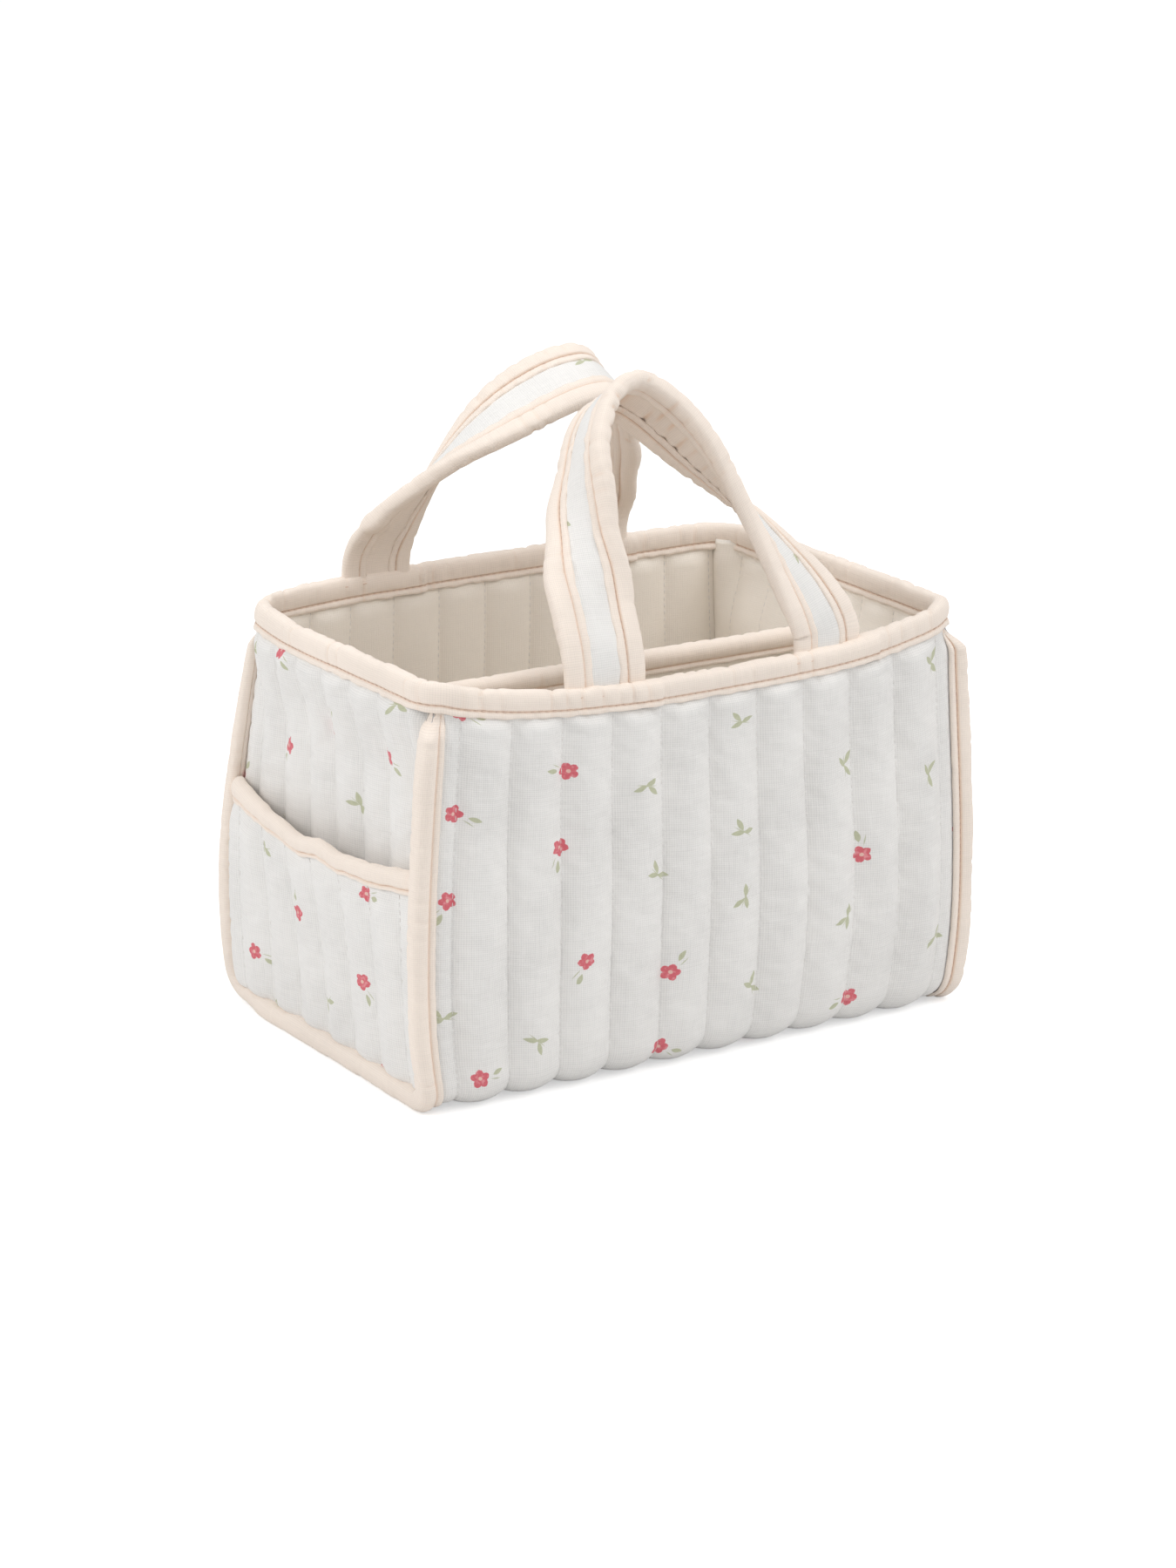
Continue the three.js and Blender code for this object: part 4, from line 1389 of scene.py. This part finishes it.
@dataclass
class Pocket:
    """Quilted pocket over the lower part of an end wall, standing off it towards a sagging mouth."""

    box: Box
    side: Side
    quilt: Quilt
    mouth: float = 118
    sag: float = 8
    gape: float = 11
    binding: float = 12
    sewn: float = 1.6
    back_reach: float = 3.2
    back_tuck: float = 3.4
    crown: float = 2
    pad: float = 2.5
    puff: float = 4.2
    wave: float = 2.8
    end_share: float = 0.62
    end_taper: float = 9
    print_shift: float = 1000
    print_drop: float = 330
    step: float = 2.6
    arc_steps: int = 5

    @property
    def wall(self) -> float:
        """Thickness at a stitching line."""
        return self.box.cover + self.box.clearance + self.box.lining

    @property
    def half(self) -> float:
        """From the middle to its side seams."""
        return self.box.rim_half_depth - self.box.roll_half + self.sewn

    @property
    def bottom(self) -> float:
        """Height of its lower seam."""
        return self.box.base_plane + self.box.wall / 2 + self.box.roll_half - self.sewn

    @property
    def lips(self) -> float:
        """Height of the lips of its mouth's binding."""
        return self.mouth - self.binding

    def drape(self, y: float, z: float, depth: float) -> Vector:
        """Where a point of the pocket lies.

        Args:
            y: Place along the depth of the box.
            z: Height before it sags.
            depth: Depth from its outer stitching plane.

        Returns:
            The point.
        """
        box = self.box
        rise = clamp((z - self.bottom) / (self.mouth - self.bottom))
        across = y / self.half
        slack = (1 - across * across) * rise * rise
        seat = box.half_length + box.cover_puff + box.ease + self.wall
        seat -= self.back_tuck * smoothstep(y, self.half - 11, self.half)
        y += self.back_reach * smoothstep(y, self.half - 25, self.half)
        return box.give(self.side.value * (seat + self.gape * slack - depth), y, z - self.sag * slack)

    def rows(self) -> list[Row]:
        """Rows of the pocket.

        Returns:
            The rows from the mouth down, with lower corners that follow the base's rounding.
        """
        top = self.mouth - self.crown - self.box.clearance
        return rounded_rows(self.box, top, self.bottom, self.half, self.step, self.arc_steps,
                            lambda z: lerp(1.0, 0.1, smoothstep(z, self.lips - 12, self.lips)))

    def place(self, row: Row, u: float, depth: float) -> Vector:
        """Where a point of the panel lies, by its row and its place across."""
        return self.drape(squeeze(u, self.half, row.edge), row.z, depth)

    def build(self) -> None:
        """Builds the panel, its lining, the bound mouth and the stitches."""
        box, quilt, lips, way = self.box, self.quilt, self.lips, self.side.value
        name = self.side.name.lower()
        rows = self.rows()
        columns = quilt.columns(self.half, self.half)

        def panel(row: Row, line: Column) -> float:
            """How deep a point of the panel's shown face lies."""
            return -self.puff * row.puff * quilt.swell(line, row.v)

        def uneven(row: int, column: int) -> Vector:
            """A point of the lining's shown face."""
            depth = self.wall + 0.5 * ripple(row / 4, column / 5, 1.5)
            return self.place(rows[row], columns[column].u, depth)

        def flat(row: int, column: int) -> tuple[float, float]:
            """A point of the uncut cloth."""
            return columns[column].u + self.print_shift * way, rows[row].v + self.print_drop

        def held(row: int, column: int) -> bool:
            """Whether a point is sewn or gripped by the mouth's binding."""
            return columns[column].share <= 0 or rows[row].z > lips - 2

        shown = quilted(f"{name}_pocket_quilt", rows, columns, self.place, panel, box.cover, flat, held)
        dress(Swell().settle(shown), PRINTED, [f"{name}_pocket_panel"])
        hidden = box.cover + box.clearance
        inside = shell(f"{name}_pocket_back", len(rows), len(columns), uneven,
                       lambda i, j: self.place(rows[i], columns[j].u, hidden), flat)
        dress(inside, LINING, [f"{name}_pocket_lining"])

        grip = self.wall / 2 + box.ease
        roll = Roll(self.binding, grip + self.pad, grip, crown=self.crown, lip_height=3.0)
        creasing = Creasing(seed=6.0 + way, crease=0.7, spacing=10, frill=0.8)
        strip = Strip(f"{name}_pocket_strip", roll, creasing)
        runs = [y - self.half for y in spread(2 * self.half, 2.4)]

        def mouth(y: float, a: float, b: float) -> Vector:
            """A point of the mouth's binding.

            Args:
                y: Place along the mouth.
                a: Place from the lips to the fold.
                b: Place across the panel's edge.

            Returns:
                The point.
            """
            wave = self.wave * ripple(y / 23, 2.0 * way) + 0.9 * ripple(y / 8, 5.0 * way)
            return self.drape(y, lips + a + wave * (1 - (y / self.half) ** 6), self.wall / 2 + b)

        def taper(y: float) -> float:
            """How thick the binding is: pressed flat where its back end is sewn in."""
            return lerp(self.end_share, 1, smoothstep(self.half - y, 0, self.end_taper))

        piece = strip.build(runs, runs, mouth, taper=taper)
        dress(piece, BLUSH, [f"{name}_pocket_binding"])
        seams = [[self.place(row, u, -THREAD_OUT) for row in rows if row.z < lips]
                 for u in quilt.lines(self.half)[1:-1]]
        dress(sew(f"{name}_pocket_stitches", seams), WHITE_THREAD)
        edges = strip.seams(runs, mouth)
        dress(sew(f"{name}_mouth_stitches", edges), BLUSH_THREAD)


@dataclass(frozen=True)
class RimStation:
    """A place on the rim's centre line and the way out of the box there."""

    x: float
    y: float
    nx: float
    ny: float


@dataclass
class Rim:
    """Padded strip over the whole top edge."""

    box: Box
    feet: Sequence[tuple[Face, float, float]]
    step: float = 1.6
    crown: float = 3
    thickness: float = 8.8
    drop: float = 0.6
    wave: float = 0.9
    overlap: float = 40
    double_share: float = 0.3
    tack_share: float = 0.84
    tack_drop: float = 4.2

    def stations(self) -> list[RimStation]:
        """Places round the rim.

        Returns:
            The stations, starting on the front.
        """
        box = self.box
        radius = box.rim_corner
        along_x = box.rim_half_length - radius
        along_y = box.rim_half_depth - radius
        found = []
        for (nx, ny), run in (((0, -1), along_x), ((1, 0), along_y), ((0, 1), along_x), ((-1, 0), along_y)):
            tx, ty = -ny, nx
            for far in spread(2 * run, self.step)[:-1]:
                x = nx * box.rim_half_length + tx * (far - run)
                y = ny * box.rim_half_depth + ty * (far - run)
                found.append(RimStation(x, y, nx, ny))
            for arc in spread(math.pi / 2 * radius, self.step)[:-1]:
                turn = arc / radius
                cx = nx * math.cos(turn) + tx * math.sin(turn)
                cy = ny * math.cos(turn) + ty * math.sin(turn)
                x = (nx + tx) * along_x + radius * cx
                y = (ny + ty) * along_y + radius * cy
                found.append(RimStation(x, y, cx, cy))
        return found

    def place(self, station: RimStation, a: float, b: float) -> Vector:
        """Where a point of the strip's section lies.

        Args:
            station: The place along the rim.
            a: Place from the lips to the fold.
            b: Place across the rim, outwards.

        Returns:
            The point.
        """
        x, y = station.x, station.y
        lift = self.wave * (ripple(x / 31, y / 31, 6.0) + 0.5 * ripple(x / 13, y / 13, 8.0))
        height = self.box.rim_bottom + a + lift * clamp(a / self.box.rim_height)
        b *= 1 + self.double_share * self.doubled(station)
        return self.box.give(x + station.nx * b, y + station.ny * b, height)

    def doubled(self, station: RimStation) -> float:
        """How far the strip lies double on the way to a join beside a strap's foot.

        Args:
            station: The place along the rim.

        Returns:
            0 where it is single and about 1 where it is double.
        """
        found = 0.0
        for face, _, join in self.feet:
            if station.ny * face.value > 0.9:
                back = join + 5 - station.x
                step = smoothstep(back, -0.6, 0.6) * (1 - smoothstep(back, 2, self.overlap))
                found += step - 0.5 * bell(back + 1.2, 1.1)
        return found

    def build(self) -> None:
        """Builds the strip, its two rows of stitches and the rows that hold the straps."""
        box = self.box
        stations = self.stations()
        along = [0.0]
        for start, end in zip(stations, stations[1:]):
            along.append(along[-1] + math.hypot(end.x - start.x, end.y - start.y))
        roll = Roll(box.rim_height, self.thickness / 2, box.grip, lips=-self.drop, crown=self.crown,
                    lip_height=3.6, flatness=0.6, turns=25)
        creasing = Creasing(seed=4.0, crease=1.2, spacing=9, slant=0.3, frill=1.1, swell=0.7)
        strip = Strip("rim_strip", roll, creasing, joined=True)
        piece = strip.build(stations, along, self.place)
        dress(piece, BLUSH, ["rim_binding"])
        seams = strip.seams(stations, self.place)
        for face, low, high in self.feet:
            for b in (self.tack_share, -self.tack_share):
                seams.append([
                    box.give(x, face.value * (box.rim_half_depth + b * (self.thickness / 2 + 0.1)),
                             box.height - self.tack_drop + 0.5 * ripple(x / 9, b, 3.0))
                    for x in (low + far for far in spread(high - low, 2))
                ])
        dress(sew("rim_stitches", seams), BLUSH_THREAD)


@dataclass(frozen=True)
class StrapStation:
    """A place on a strap's centre line, with the ways across it and out of its printed face."""

    middle: Vector
    width: Vector
    normal: Vector
    rise: float
    turned: float
    way: int
    far: float
    bend: float


@dataclass(frozen=True)
class Leg:
    """One leg of a handle.

    It runs on straight by its pull, and the top runs on level before it. It turns from facing out to
    facing up between two shares of its rise, facing and twist. Its gather is the share of its width left
    at its foot.
    """

    pull: float
    level: float
    twist: float
    gather: float = 1.0
    facing: float = 0.0


@dataclass
class Handle:
    """A carrying handle: printed strip and backing strip, held along both edges by padded bindings."""

    box: Box
    face: Face
    divider_place: float
    divider_half: float
    shift: float
    lean: float
    rise: float
    top: float
    left: Leg
    right: Leg
    kink: float = 0
    width: float = 46
    thickness: float = 10
    roll: float = 15.5
    crown: float = 2.2
    spacing: float = 124
    lift_gap: float = 1
    foot: float = 13
    ease_low: float = -6
    ease_high: float = 16
    foot_share: float = 0.55
    free_share: float = 0.9
    slim: float = 0.98
    pinch: float = 0.2
    hang: float = 0.9
    hang_span: float = 55
    cover_dome: float = 1.3
    backing_dome: float = 0.9
    pleat_depth: float = 1.5
    print_place: float = 40
    print_shift: float = 300
    print_drop: float = 1500
    step: float = 2.3

    @property
    def name(self) -> str:
        """Start of its pieces' names."""
        return f"{self.face.name.lower()}_handle"

    def hinge(self) -> tuple[float, float, float]:
        """Where the handle folds, and how far it leans in beside the divider.

        Returns:
            The folding line's place along Y, its height, and the lean from upright in radians.
        """
        box, side = self.box, self.face.value
        bend = self.thickness / 2
        outer = (self.spacing + self.width) / 2
        y = abs(box.slump(self.spacing / 2, side * box.rim_half_depth, box.height).y)
        tops = (box.slump(self.shift + x, side * box.rim_half_depth, box.height).z for x in (-outer, outer))
        z = max(tops) + box.clearance + bend
        middle = self.width / 2 - bend
        inset = y - side * self.divider_place - self.divider_half - self.lift_gap - bend
        room = math.asin(min(1.0, inset / math.hypot(self.rise, middle))) - math.atan2(middle, self.rise)
        return y, z, min(math.radians(self.lean), room)

    def line(self, way: int, leg: Leg) -> list[tuple[float, float, float, float, float]]:
        """A leg's line in the handle's plane, from its foot to the top.

        Args:
            way: -1 for the left leg and 1 for the right one.
            leg: The leg.

        Returns:
            For each place, how far along X it lies, its rise, the way on, and the turn of the strap.
        """
        foot = way * self.spacing / 2
        knots = [Vector((foot, 0)), Vector((foot, leg.pull)),
                 Vector((self.top + way * leg.level, self.rise)), Vector((self.top, self.rise))]
        count = 400
        curve = []
        for i in range(count + 1):
            t = i / count
            weights = ((1 - t) ** 3, 3 * t * (1 - t) ** 2, 3 * t * t * (1 - t), t ** 3)
            curve.append(sum((knot * weight for knot, weight in zip(knots, weights)), Vector((0, 0))))
        lengths = [0.0]
        for start, end in zip(curve, curve[1:]):
            lengths.append(lengths[-1] + (end - start).length)
        found = [(foot, down - self.foot, 0.0, 1.0, 0.0) for down in spread(self.foot, self.step)[:-1]]
        i = 0
        for far in spread(lengths[-1], self.step):
            while i < count - 1 and lengths[i + 1] < far:
                i += 1
            share = clamp((far - lengths[i]) / (lengths[i + 1] - lengths[i]))
            point = curve[i].lerp(curve[i + 1], share)
            on = (curve[i + 1] - curve[i]).normalized()
            turned = math.pi / 2 * smoothstep(point.y / self.rise, leg.facing, leg.twist)
            found.append((point.x, point.y, on.x, on.y, turned))
        return found

    def spine(self, rise: float) -> tuple[Vector, float]:
        """The strap's middle in the plane across the box: upright in the rim, then leaning in.

        Args:
            rise: Distance up the strap from the folding line.

        Returns:
            The place, with no X, and the lean in radians.
        """
        y, z, lean = self.hinge()
        side = self.face.value
        low, high = self.ease_low, self.ease_high
        if rise >= high:
            return Vector((0, side * (y - math.sin(lean) * rise), z + math.cos(lean) * rise)), lean
        radius = (high - low) / lean
        turn = lean * clamp((rise - low) / (high - low))
        base_y = y - math.sin(lean) * high + radius * (1 - math.cos(lean))
        base_z = z + math.cos(lean) * high - radius * math.sin(lean)
        below = min(0.0, rise - low)
        return Vector((0, side * (base_y - radius * (1 - math.cos(turn))),
                       base_z + radius * math.sin(turn) + below)), turn

    def stations(self) -> list[StrapStation]:
        """Places along the strap.

        Returns:
            The stations from the left foot over the top to the right foot.
        """
        side = self.face.value
        rising = [(-1, *spot) for spot in self.line(-1, self.left)]
        falling = [(1, x, rise, -tx, -ty, turned)
                   for x, rise, tx, ty, turned in reversed(self.line(1, self.right)[:-1])]
        out = Vector((1, 0, 0))
        found = []
        far = 0.0
        for way, x, rise, tx, ty, turned in [*rising, *falling]:
            middle, lean = self.spine(rise)
            middle.x = self.shift + x
            up = Vector((0, -side * math.sin(lean), math.cos(lean)))
            facing = Vector((0, side * math.cos(lean), math.sin(lean)))
            along = out * tx + up * ty
            outward = out * -ty + up * tx
            normal = facing * math.cos(turned) + outward * math.sin(turned)
            if found:
                far += (middle - found[-1].middle).length
            bend = smoothstep(rise / self.rise, 0.35, 0.9)
            found.append(StrapStation(middle, normal.cross(along), normal, rise, turned, way, far, bend))
        return found

    def place(self, station: StrapStation, a: float, b: float) -> Vector:
        """Where a point of the strap lies.

        Args:
            station: The place along the strap.
            a: Place across it.
            b: Place out of its printed face.

        Returns:
            The point.
        """
        rise = station.rise
        thin = lerp(self.foot_share, self.free_share, smoothstep(rise, -2, 24))
        leg = self.left if station.way < 0 else self.right
        narrow = self.slim - self.pinch * math.sin(2 * station.turned) ** 2
        narrow *= lerp(leg.gather, 1, smoothstep(rise / self.rise, 0.2, 0.75))
        drift = noise.noise_vector(station.middle / self.hang_span) * (self.hang * smoothstep(rise, 0, 30))
        if self.kink and station.way < 0:
            fold = bell(rise - self.kink, 1.7) * smoothstep(-a, 2, 12)
            bulge = bell(rise - self.kink - 6, 4) * smoothstep(-a, 2, 12)
            thin *= 1 - 0.42 * fold + 0.22 * bulge
        return station.middle + station.width * (a * narrow) + station.normal * (b * thin) + drift

    def settle(self, piece: bpy.types.Object) -> None:
        """Bakes a piece's placement into its mesh.

        Args:
            piece: The piece.
        """
        y, z, lean = self.hinge()
        self.name
        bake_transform(piece)

    def build(self) -> None:
        """Builds the printed strip, the backing, both bindings and their stitches."""
        box, side = self.box, self.face.value
        stations = self.stations()
        along = [station.far for station in stations]
        half = self.width / 2
        lips = half - self.roll
        edge = half - self.crown - box.ease
        top = box.wadding / 2 + box.clearance + box.cover
        places = [edge * (2 * i / 16 - 1) for i in range(17)]

        def flat(row: int, column: int) -> tuple[float, float]:
            """A point of the uncut cloth."""
            return places[column] + self.print_place + self.print_shift * side, along[row] + self.print_drop

        def arch(column: int) -> float:
            """How far a strip stands up between the bindings, as a share."""
            return max(0.0, 1 - (places[column] / (lips + 2)) ** 2)

        def printed(row: int, column: int) -> Vector:
            """A point of the printed strip."""
            uneven = 0.35 * ripple(along[row] / 14, places[column] / 8, 1.0 + self.shift)
            return self.place(stations[row], places[column], top + self.cover_dome * arch(column) + uneven)

        def pleat(row: int, column: int) -> float:
            """How deep in a pleat a point of the backing strip lies, which also sets the shade painted there.
            """
            drift = ripple(along[row] / 17, places[column] / 40, 7.0)
            return stations[row].bend * furrow(along[row] / 8 + drift)

        def backing(row: int, column: int) -> Vector:
            """A point of the backing strip, which gathers in cross pleats on the inside of the arch."""
            depth = top + self.backing_dome * arch(column) - self.pleat_depth * pleat(row, column)
            return self.place(stations[row], places[column], -depth)

        sizes = (len(stations), len(places))
        name = self.name
        cover = shell(f"{name}_strip", *sizes, printed,
                      lambda i, j: self.place(stations[i], places[j], 0.2), flat)
        tabs = [f"{name}_{end}_tab" for end in ("left", "right")]
        dress(cover, PRINTED, [f"{name}_cover", f"{name}_wadding", *tabs], None)
        # The backing gets shade painted into its pleats.
        under = shell(f"{name}_lining", *sizes, backing,
                      lambda i, j: self.place(stations[i], places[j], -0.2), flat, painted_shade=pleat)
        dress(under, BLUSH, [f"{name}_backing"], None)
        section = Roll(half, self.thickness / 2, top + box.clearance, lips=lips, crown=self.crown,
                       lip_height=5, flatness=0.75)
        pieces = [cover, under]
        seams = []
        for edge_name, way in (("inner", -side), ("outer", side)):
            creasing = Creasing(seed=11.0 + 3 * way + side, crease=1.5, spacing=8, slant=0.35, frill=1.1)
            strip = Strip(f"{name}_{edge_name}_strip", section, creasing)

            def at(station: StrapStation, a: float, b: float, way: int = way) -> Vector:
                """A point of this edge's binding."""
                return self.place(station, way * a, b)

            piece = strip.build(stations, along, at, lambda s, b: 0.45 + s.bend * (1.0 if b < 0 else 0.35))
            dress(piece, BLUSH, [f"{name}_{edge_name}_binding"], None)
            pieces.append(piece)
            seams.extend(strip.seams(stations, at))
        stitches = dress(sew(f"{name}_stitches", seams), BLUSH_THREAD, (), None)
        for piece in (*pieces, stitches):
            self.settle(piece)

    def feet(self) -> list[tuple[Face, float, float]]:
        """Where its feet stand along the rim."""
        middles = [self.shift + way * self.spacing / 2 for way in (-1, 1)]
        return [(self.face, x - self.width / 2 + 1, x + self.width / 2 - 1) for x in middles]


@dataclass
class Divider:
    """Quilted panel that lifts out, bound along its top and held at both ends by tape."""

    box: Box
    quilt: Quilt
    height: float = 175
    middle: float = -4
    puff: float = 2.6
    binding: float = 12
    crown: float = 2.5
    tape_thickness: float = 1.2
    tape_width: float = 20
    tape_low: float = 40
    tape_high: float = 145
    step: float = 4

    @property
    def wall(self) -> float:
        """Thickness at a stitching line."""
        return 2 * self.box.lining + 2 * self.box.clearance + self.box.wadding

    @property
    def half(self) -> float:
        """Half of its thickness at a crest."""
        return self.wall / 2 + self.puff

    @property
    def tape_seat(self) -> float:
        """From the middle to the faces of the end linings."""
        return self.box.half_length - self.box.wall - self.box.lining_puff - self.box.clearance

    @property
    def half_length(self) -> float:
        """From the middle to its ends."""
        return self.tape_seat - 2 * (self.tape_thickness + self.box.clearance)

    def place(self, x: float, z: float, depth: float) -> Vector:
        """Where a point lies, at a depth behind the middle of the panel."""
        hang = 0.7 * ripple(x / 60, z / 60, 4.0)
        return Vector((x, self.middle + depth + hang, z))

    def build(self) -> None:
        """Builds both faces, the binding, the stitches and the four tapes."""
        box = self.box
        bottom = box.base_plane + box.wall + box.lining_puff + box.clearance
        top = self.height - self.crown - box.clearance
        lips = self.height - self.binding
        heights = [top - drop for drop in spread(top - bottom, self.step)]
        columns = self.quilt.columns(self.half_length, self.half_length)

        def full(z: float) -> float:
            """How full the channels are at a height."""
            near_lips = lerp(1, 0.1, smoothstep(z, lips - 10, lips))
            return near_lips * lerp(0.3, 1, smoothstep(z, bottom, bottom + 10))

        sizes = (len(heights), len(columns))
        for name, way, shift in (("front", -1, 0), ("back", 1, 700)):

            def shown(row: int, column: int, way: int = way, shift: int = shift) -> Vector:
                """A point of this face.

                Args:
                    row: Its row.
                    column: Its column.
                    way: Which way the face looks along Y.
                    shift: Where its unevenness starts.

                Returns:
                    The point.
                """
                z, line = heights[row], columns[column]
                puff = self.puff * full(z) * self.quilt.swell(line, z + shift)
                return self.place(line.u, z, way * (self.wall / 2 + puff))

            piece = shell(f"divider_{name}_quilt", *sizes, shown,
                          lambda i, j, way=way: self.place(columns[j].u, heights[i], way * 0.2),
                          lambda i, j, shift=shift: (columns[j].u + shift, heights[i]))
            nodes = [f"divider_{name}_face"] + (["divider_wadding"] if way < 0 else [])
            dress(piece, LINING, nodes, "divider")
        grip = self.wall / 2 + box.ease
        roll = Roll(self.binding, grip + box.binding_pad, grip, crown=self.crown)
        strip = Strip("divider_strip", roll, Creasing(seed=8.0, crease=0.9, spacing=9, frill=0.7))
        runs = [x - self.half_length for x in spread(2 * self.half_length, 2.3)]

        def over(x: float, a: float, b: float) -> Vector:
            """A point of the binding."""
            return self.place(x, lips + a, b)

        dress(strip.build(runs, runs, over), BLUSH, ["divider_binding"], "divider")
        seams = strip.seams(runs, over)
        for u in self.quilt.lines(self.half_length)[1:-1]:
            for way in (-1, 1):
                out = way * (self.wall / 2 + THREAD_OUT)
                seams.append([self.place(u, z, out) for z in heights if z < lips])
        dress(sew("divider_stitches", seams), BLUSH_THREAD, (), "divider")
        for side in Side:
            end = side.name.lower()
            self.tape(f"{end}_loop_strip", side, self.tape_seat, self.tape_width, f"{end}_loop_tape", "tote")
            inner = self.tape_seat - self.tape_thickness - box.clearance
            self.tape(f"divider_{end}_hook_strip", side, inner, self.wall,
                      f"divider_{end}_hook_tape", "divider")

    def tape(self, name: str, side: Side, seat: float, width: float, node: str, body: str) -> None:
        """Builds one brushed tape.

        Args:
            name: The piece's name.
            side: The end that it is on.
            seat: Its outer face, from the middle.
            width: Its width.
            node: The node that it stands for.
            body: The body that carries it.
        """
        across = [y - width / 2 for y in spread(width, 0.9)]
        up = spread(self.tape_high - self.tape_low, 0.9)

        def spot(row: int, column: int, deep: float) -> Vector:
            """A point of the tape.

            Args:
                row: Its row.
                column: Its column.
                deep: Its depth, as a share of the thickness.

            Returns:
                The point.
            """
            fuzz = 0.22 * ripple(up[row] / 1.7, across[column] / 1.7, seat)
            x = side.value * (seat - self.tape_thickness * deep + fuzz * (2 * deep - 1))
            return Vector((x, self.middle + across[column], self.tape_low + up[row]))

        piece = shell(name, len(up), len(across), lambda i, j: spot(i, j, 0.95), lambda i, j: spot(i, j, 0.1),
                      lambda i, j: (across[j], up[i]))
        dress(piece, TAPE, [node], body)


@dataclass
class Studio:
    """Pale floor, soft light and the camera. Lengths are metres and angles degrees."""

    azimuth: float = -32.27
    elevation: float = 16.87
    distance: float = 2.1229
    target: tuple[float, float, float] = (-0.00094, 0.0, 0.1111)
    lens: float = 100.0
    sensor: float = 36.0
    floor_size: float = 12.0
    floor_drop: float = 0.0002
    sky: float = 0.58

    def build(self) -> None:
        """Sets the stage."""
        bpy.context.scene.view_settings.view_transform = "Standard"
        self.camera()
        self.floor()
        self.world()
        self.lamp("key", place=(1.3, -1.5, 2.0), size=1.0, power=12)
        self.lamp("side", place=(-1.9, 0.3, 1.3), size=1.0, power=12)
        self.lamp("top", place=(0.1, -0.3, 2.3), size=1.2, power=13)

    def camera(self) -> None:
        """Places the camera at the photograph's angle."""
        turn, up = math.radians(self.azimuth), math.radians(self.elevation)
        back = Vector((math.sin(turn) * math.cos(up), -math.cos(turn) * math.cos(up), math.sin(up)))
        data = bpy.data.cameras.new("camera")
        data.lens = self.lens
        data.sensor_width = self.sensor
        made = bpy.data.objects.new("camera", data)
        made.location = Vector(self.target) + back * self.distance
        made.rotation_euler = (-back).to_track_quat("-Z", "Y").to_euler()
        bpy.context.scene.collection.objects.link(made)
        bpy.context.scene.camera = made

    def floor(self) -> None:
        """Lays the floor, which shows white to the camera and keeps the shadow."""
        form = bmesh.new()
        bmesh.ops.create_grid(form, x_segments=2, y_segments=2, size=self.floor_size / 2)
        bmesh.ops.translate(form, verts=form.verts[:], vec=(0, 0, -self.floor_drop))
        made = new_object("floor", form)
        bench = Bench("pale_floor")
        path = bench.add("ShaderNodeLightPath")
        seen = bench.math("MAXIMUM", path.outputs["Is Camera Ray"], path.outputs["Is Glossy Ray"])
        glow = bench.math("MULTIPLY", seen, 0.5)
        lift = bench.add("ShaderNodeEmission", {"Color": (1, 1, 1, 1), "Strength": glow})
        matte = bench.add("ShaderNodeBsdfDiffuse", {"Color": (0.86, 0.86, 0.86, 1)})
        both = bench.add("ShaderNodeAddShader", {0: matte.outputs[0], 1: lift.outputs[0]})
        bench.add("ShaderNodeOutputMaterial", {"Surface": both.outputs[0]})
        made.data.materials.append(bench.material)

    def world(self) -> None:
        """Lights the scene evenly, with a white background for the camera."""
        world = bpy.data.worlds.new("studio")
        world.use_nodes = True
        bpy.context.scene.world = world
        tree = world.node_tree
        tree.nodes.clear()
        path = tree.nodes.new("ShaderNodeLightPath")
        lit = tree.nodes.new("ShaderNodeMix")
        lit.inputs[2].default_value = self.sky
        lit.inputs[3].default_value = 1.0
        background = tree.nodes.new("ShaderNodeBackground")
        out = tree.nodes.new("ShaderNodeOutputWorld")
        tree.links.new(path.outputs["Is Camera Ray"], lit.inputs[0])
        tree.links.new(lit.outputs[0], background.inputs["Strength"])
        background.inputs["Color"].default_value = (1, 1, 1, 1)
        tree.links.new(background.outputs[0], out.inputs["Surface"])

    def lamp(self, name: str, place: tuple[float, float, float], size: float, power: float) -> None:
        """Hangs a soft square lamp that faces the object.

        Args:
            name: The lamp's name.
            place: Where it hangs.
            size: Length of its sides.
            power: Its power in watts.
        """
        data = bpy.data.lights.new(name, "AREA")
        data.size = size
        data.energy = power
        made = bpy.data.objects.new(name, data)
        made.location = place
        made.rotation_euler = (Vector(self.target) - Vector(place)).to_track_quat("-Z", "Y").to_euler()
        bpy.context.scene.collection.objects.link(made)


def main() -> None:
    """Builds the caddy's sub-assemblies in order, then the stage."""
    logging.basicConfig(level=logging.INFO, format="%(message)s")
    noise.seed_set(NOISE_SEED)
    box = Box()
    quilt = Quilt()
    fin = Fin(box)
    wrap = Wrap(box, quilt, fin)
    wrap.build()
    for side in Side:
        own = replace(quilt, seed=3.0 * side.value)
        EndWall(box, own, side).build()
        EndBinding(box, fin, wrap, side).build()
        Pocket(box, side, replace(quilt, seed=9.0 + side.value)).build()
    divider = Divider(box, replace(quilt, seed=20.0))
    divider.build()
    feet = []
    room = (divider.middle, divider.half)
    for handle in (
        Handle(box, Face.FRONT, *room, shift=8, lean=34, rise=130, top=-10,
               left=Leg(pull=60, level=28, twist=0.8, gather=0.96, facing=0.2),
               right=Leg(pull=10, level=25, twist=0.9, gather=0.82)),
        Handle(box, Face.BACK, *room, shift=0, lean=25, rise=100, top=36,
               left=Leg(pull=28, level=44, twist=1.0, gather=0.84),
               right=Leg(pull=30, level=28, twist=0.8), kink=15),
    ):
        handle.build()
        feet.extend(handle.feet())
    Rim(box, feet).build()
    Studio().build()


if __name__ == "__main__":
    main()
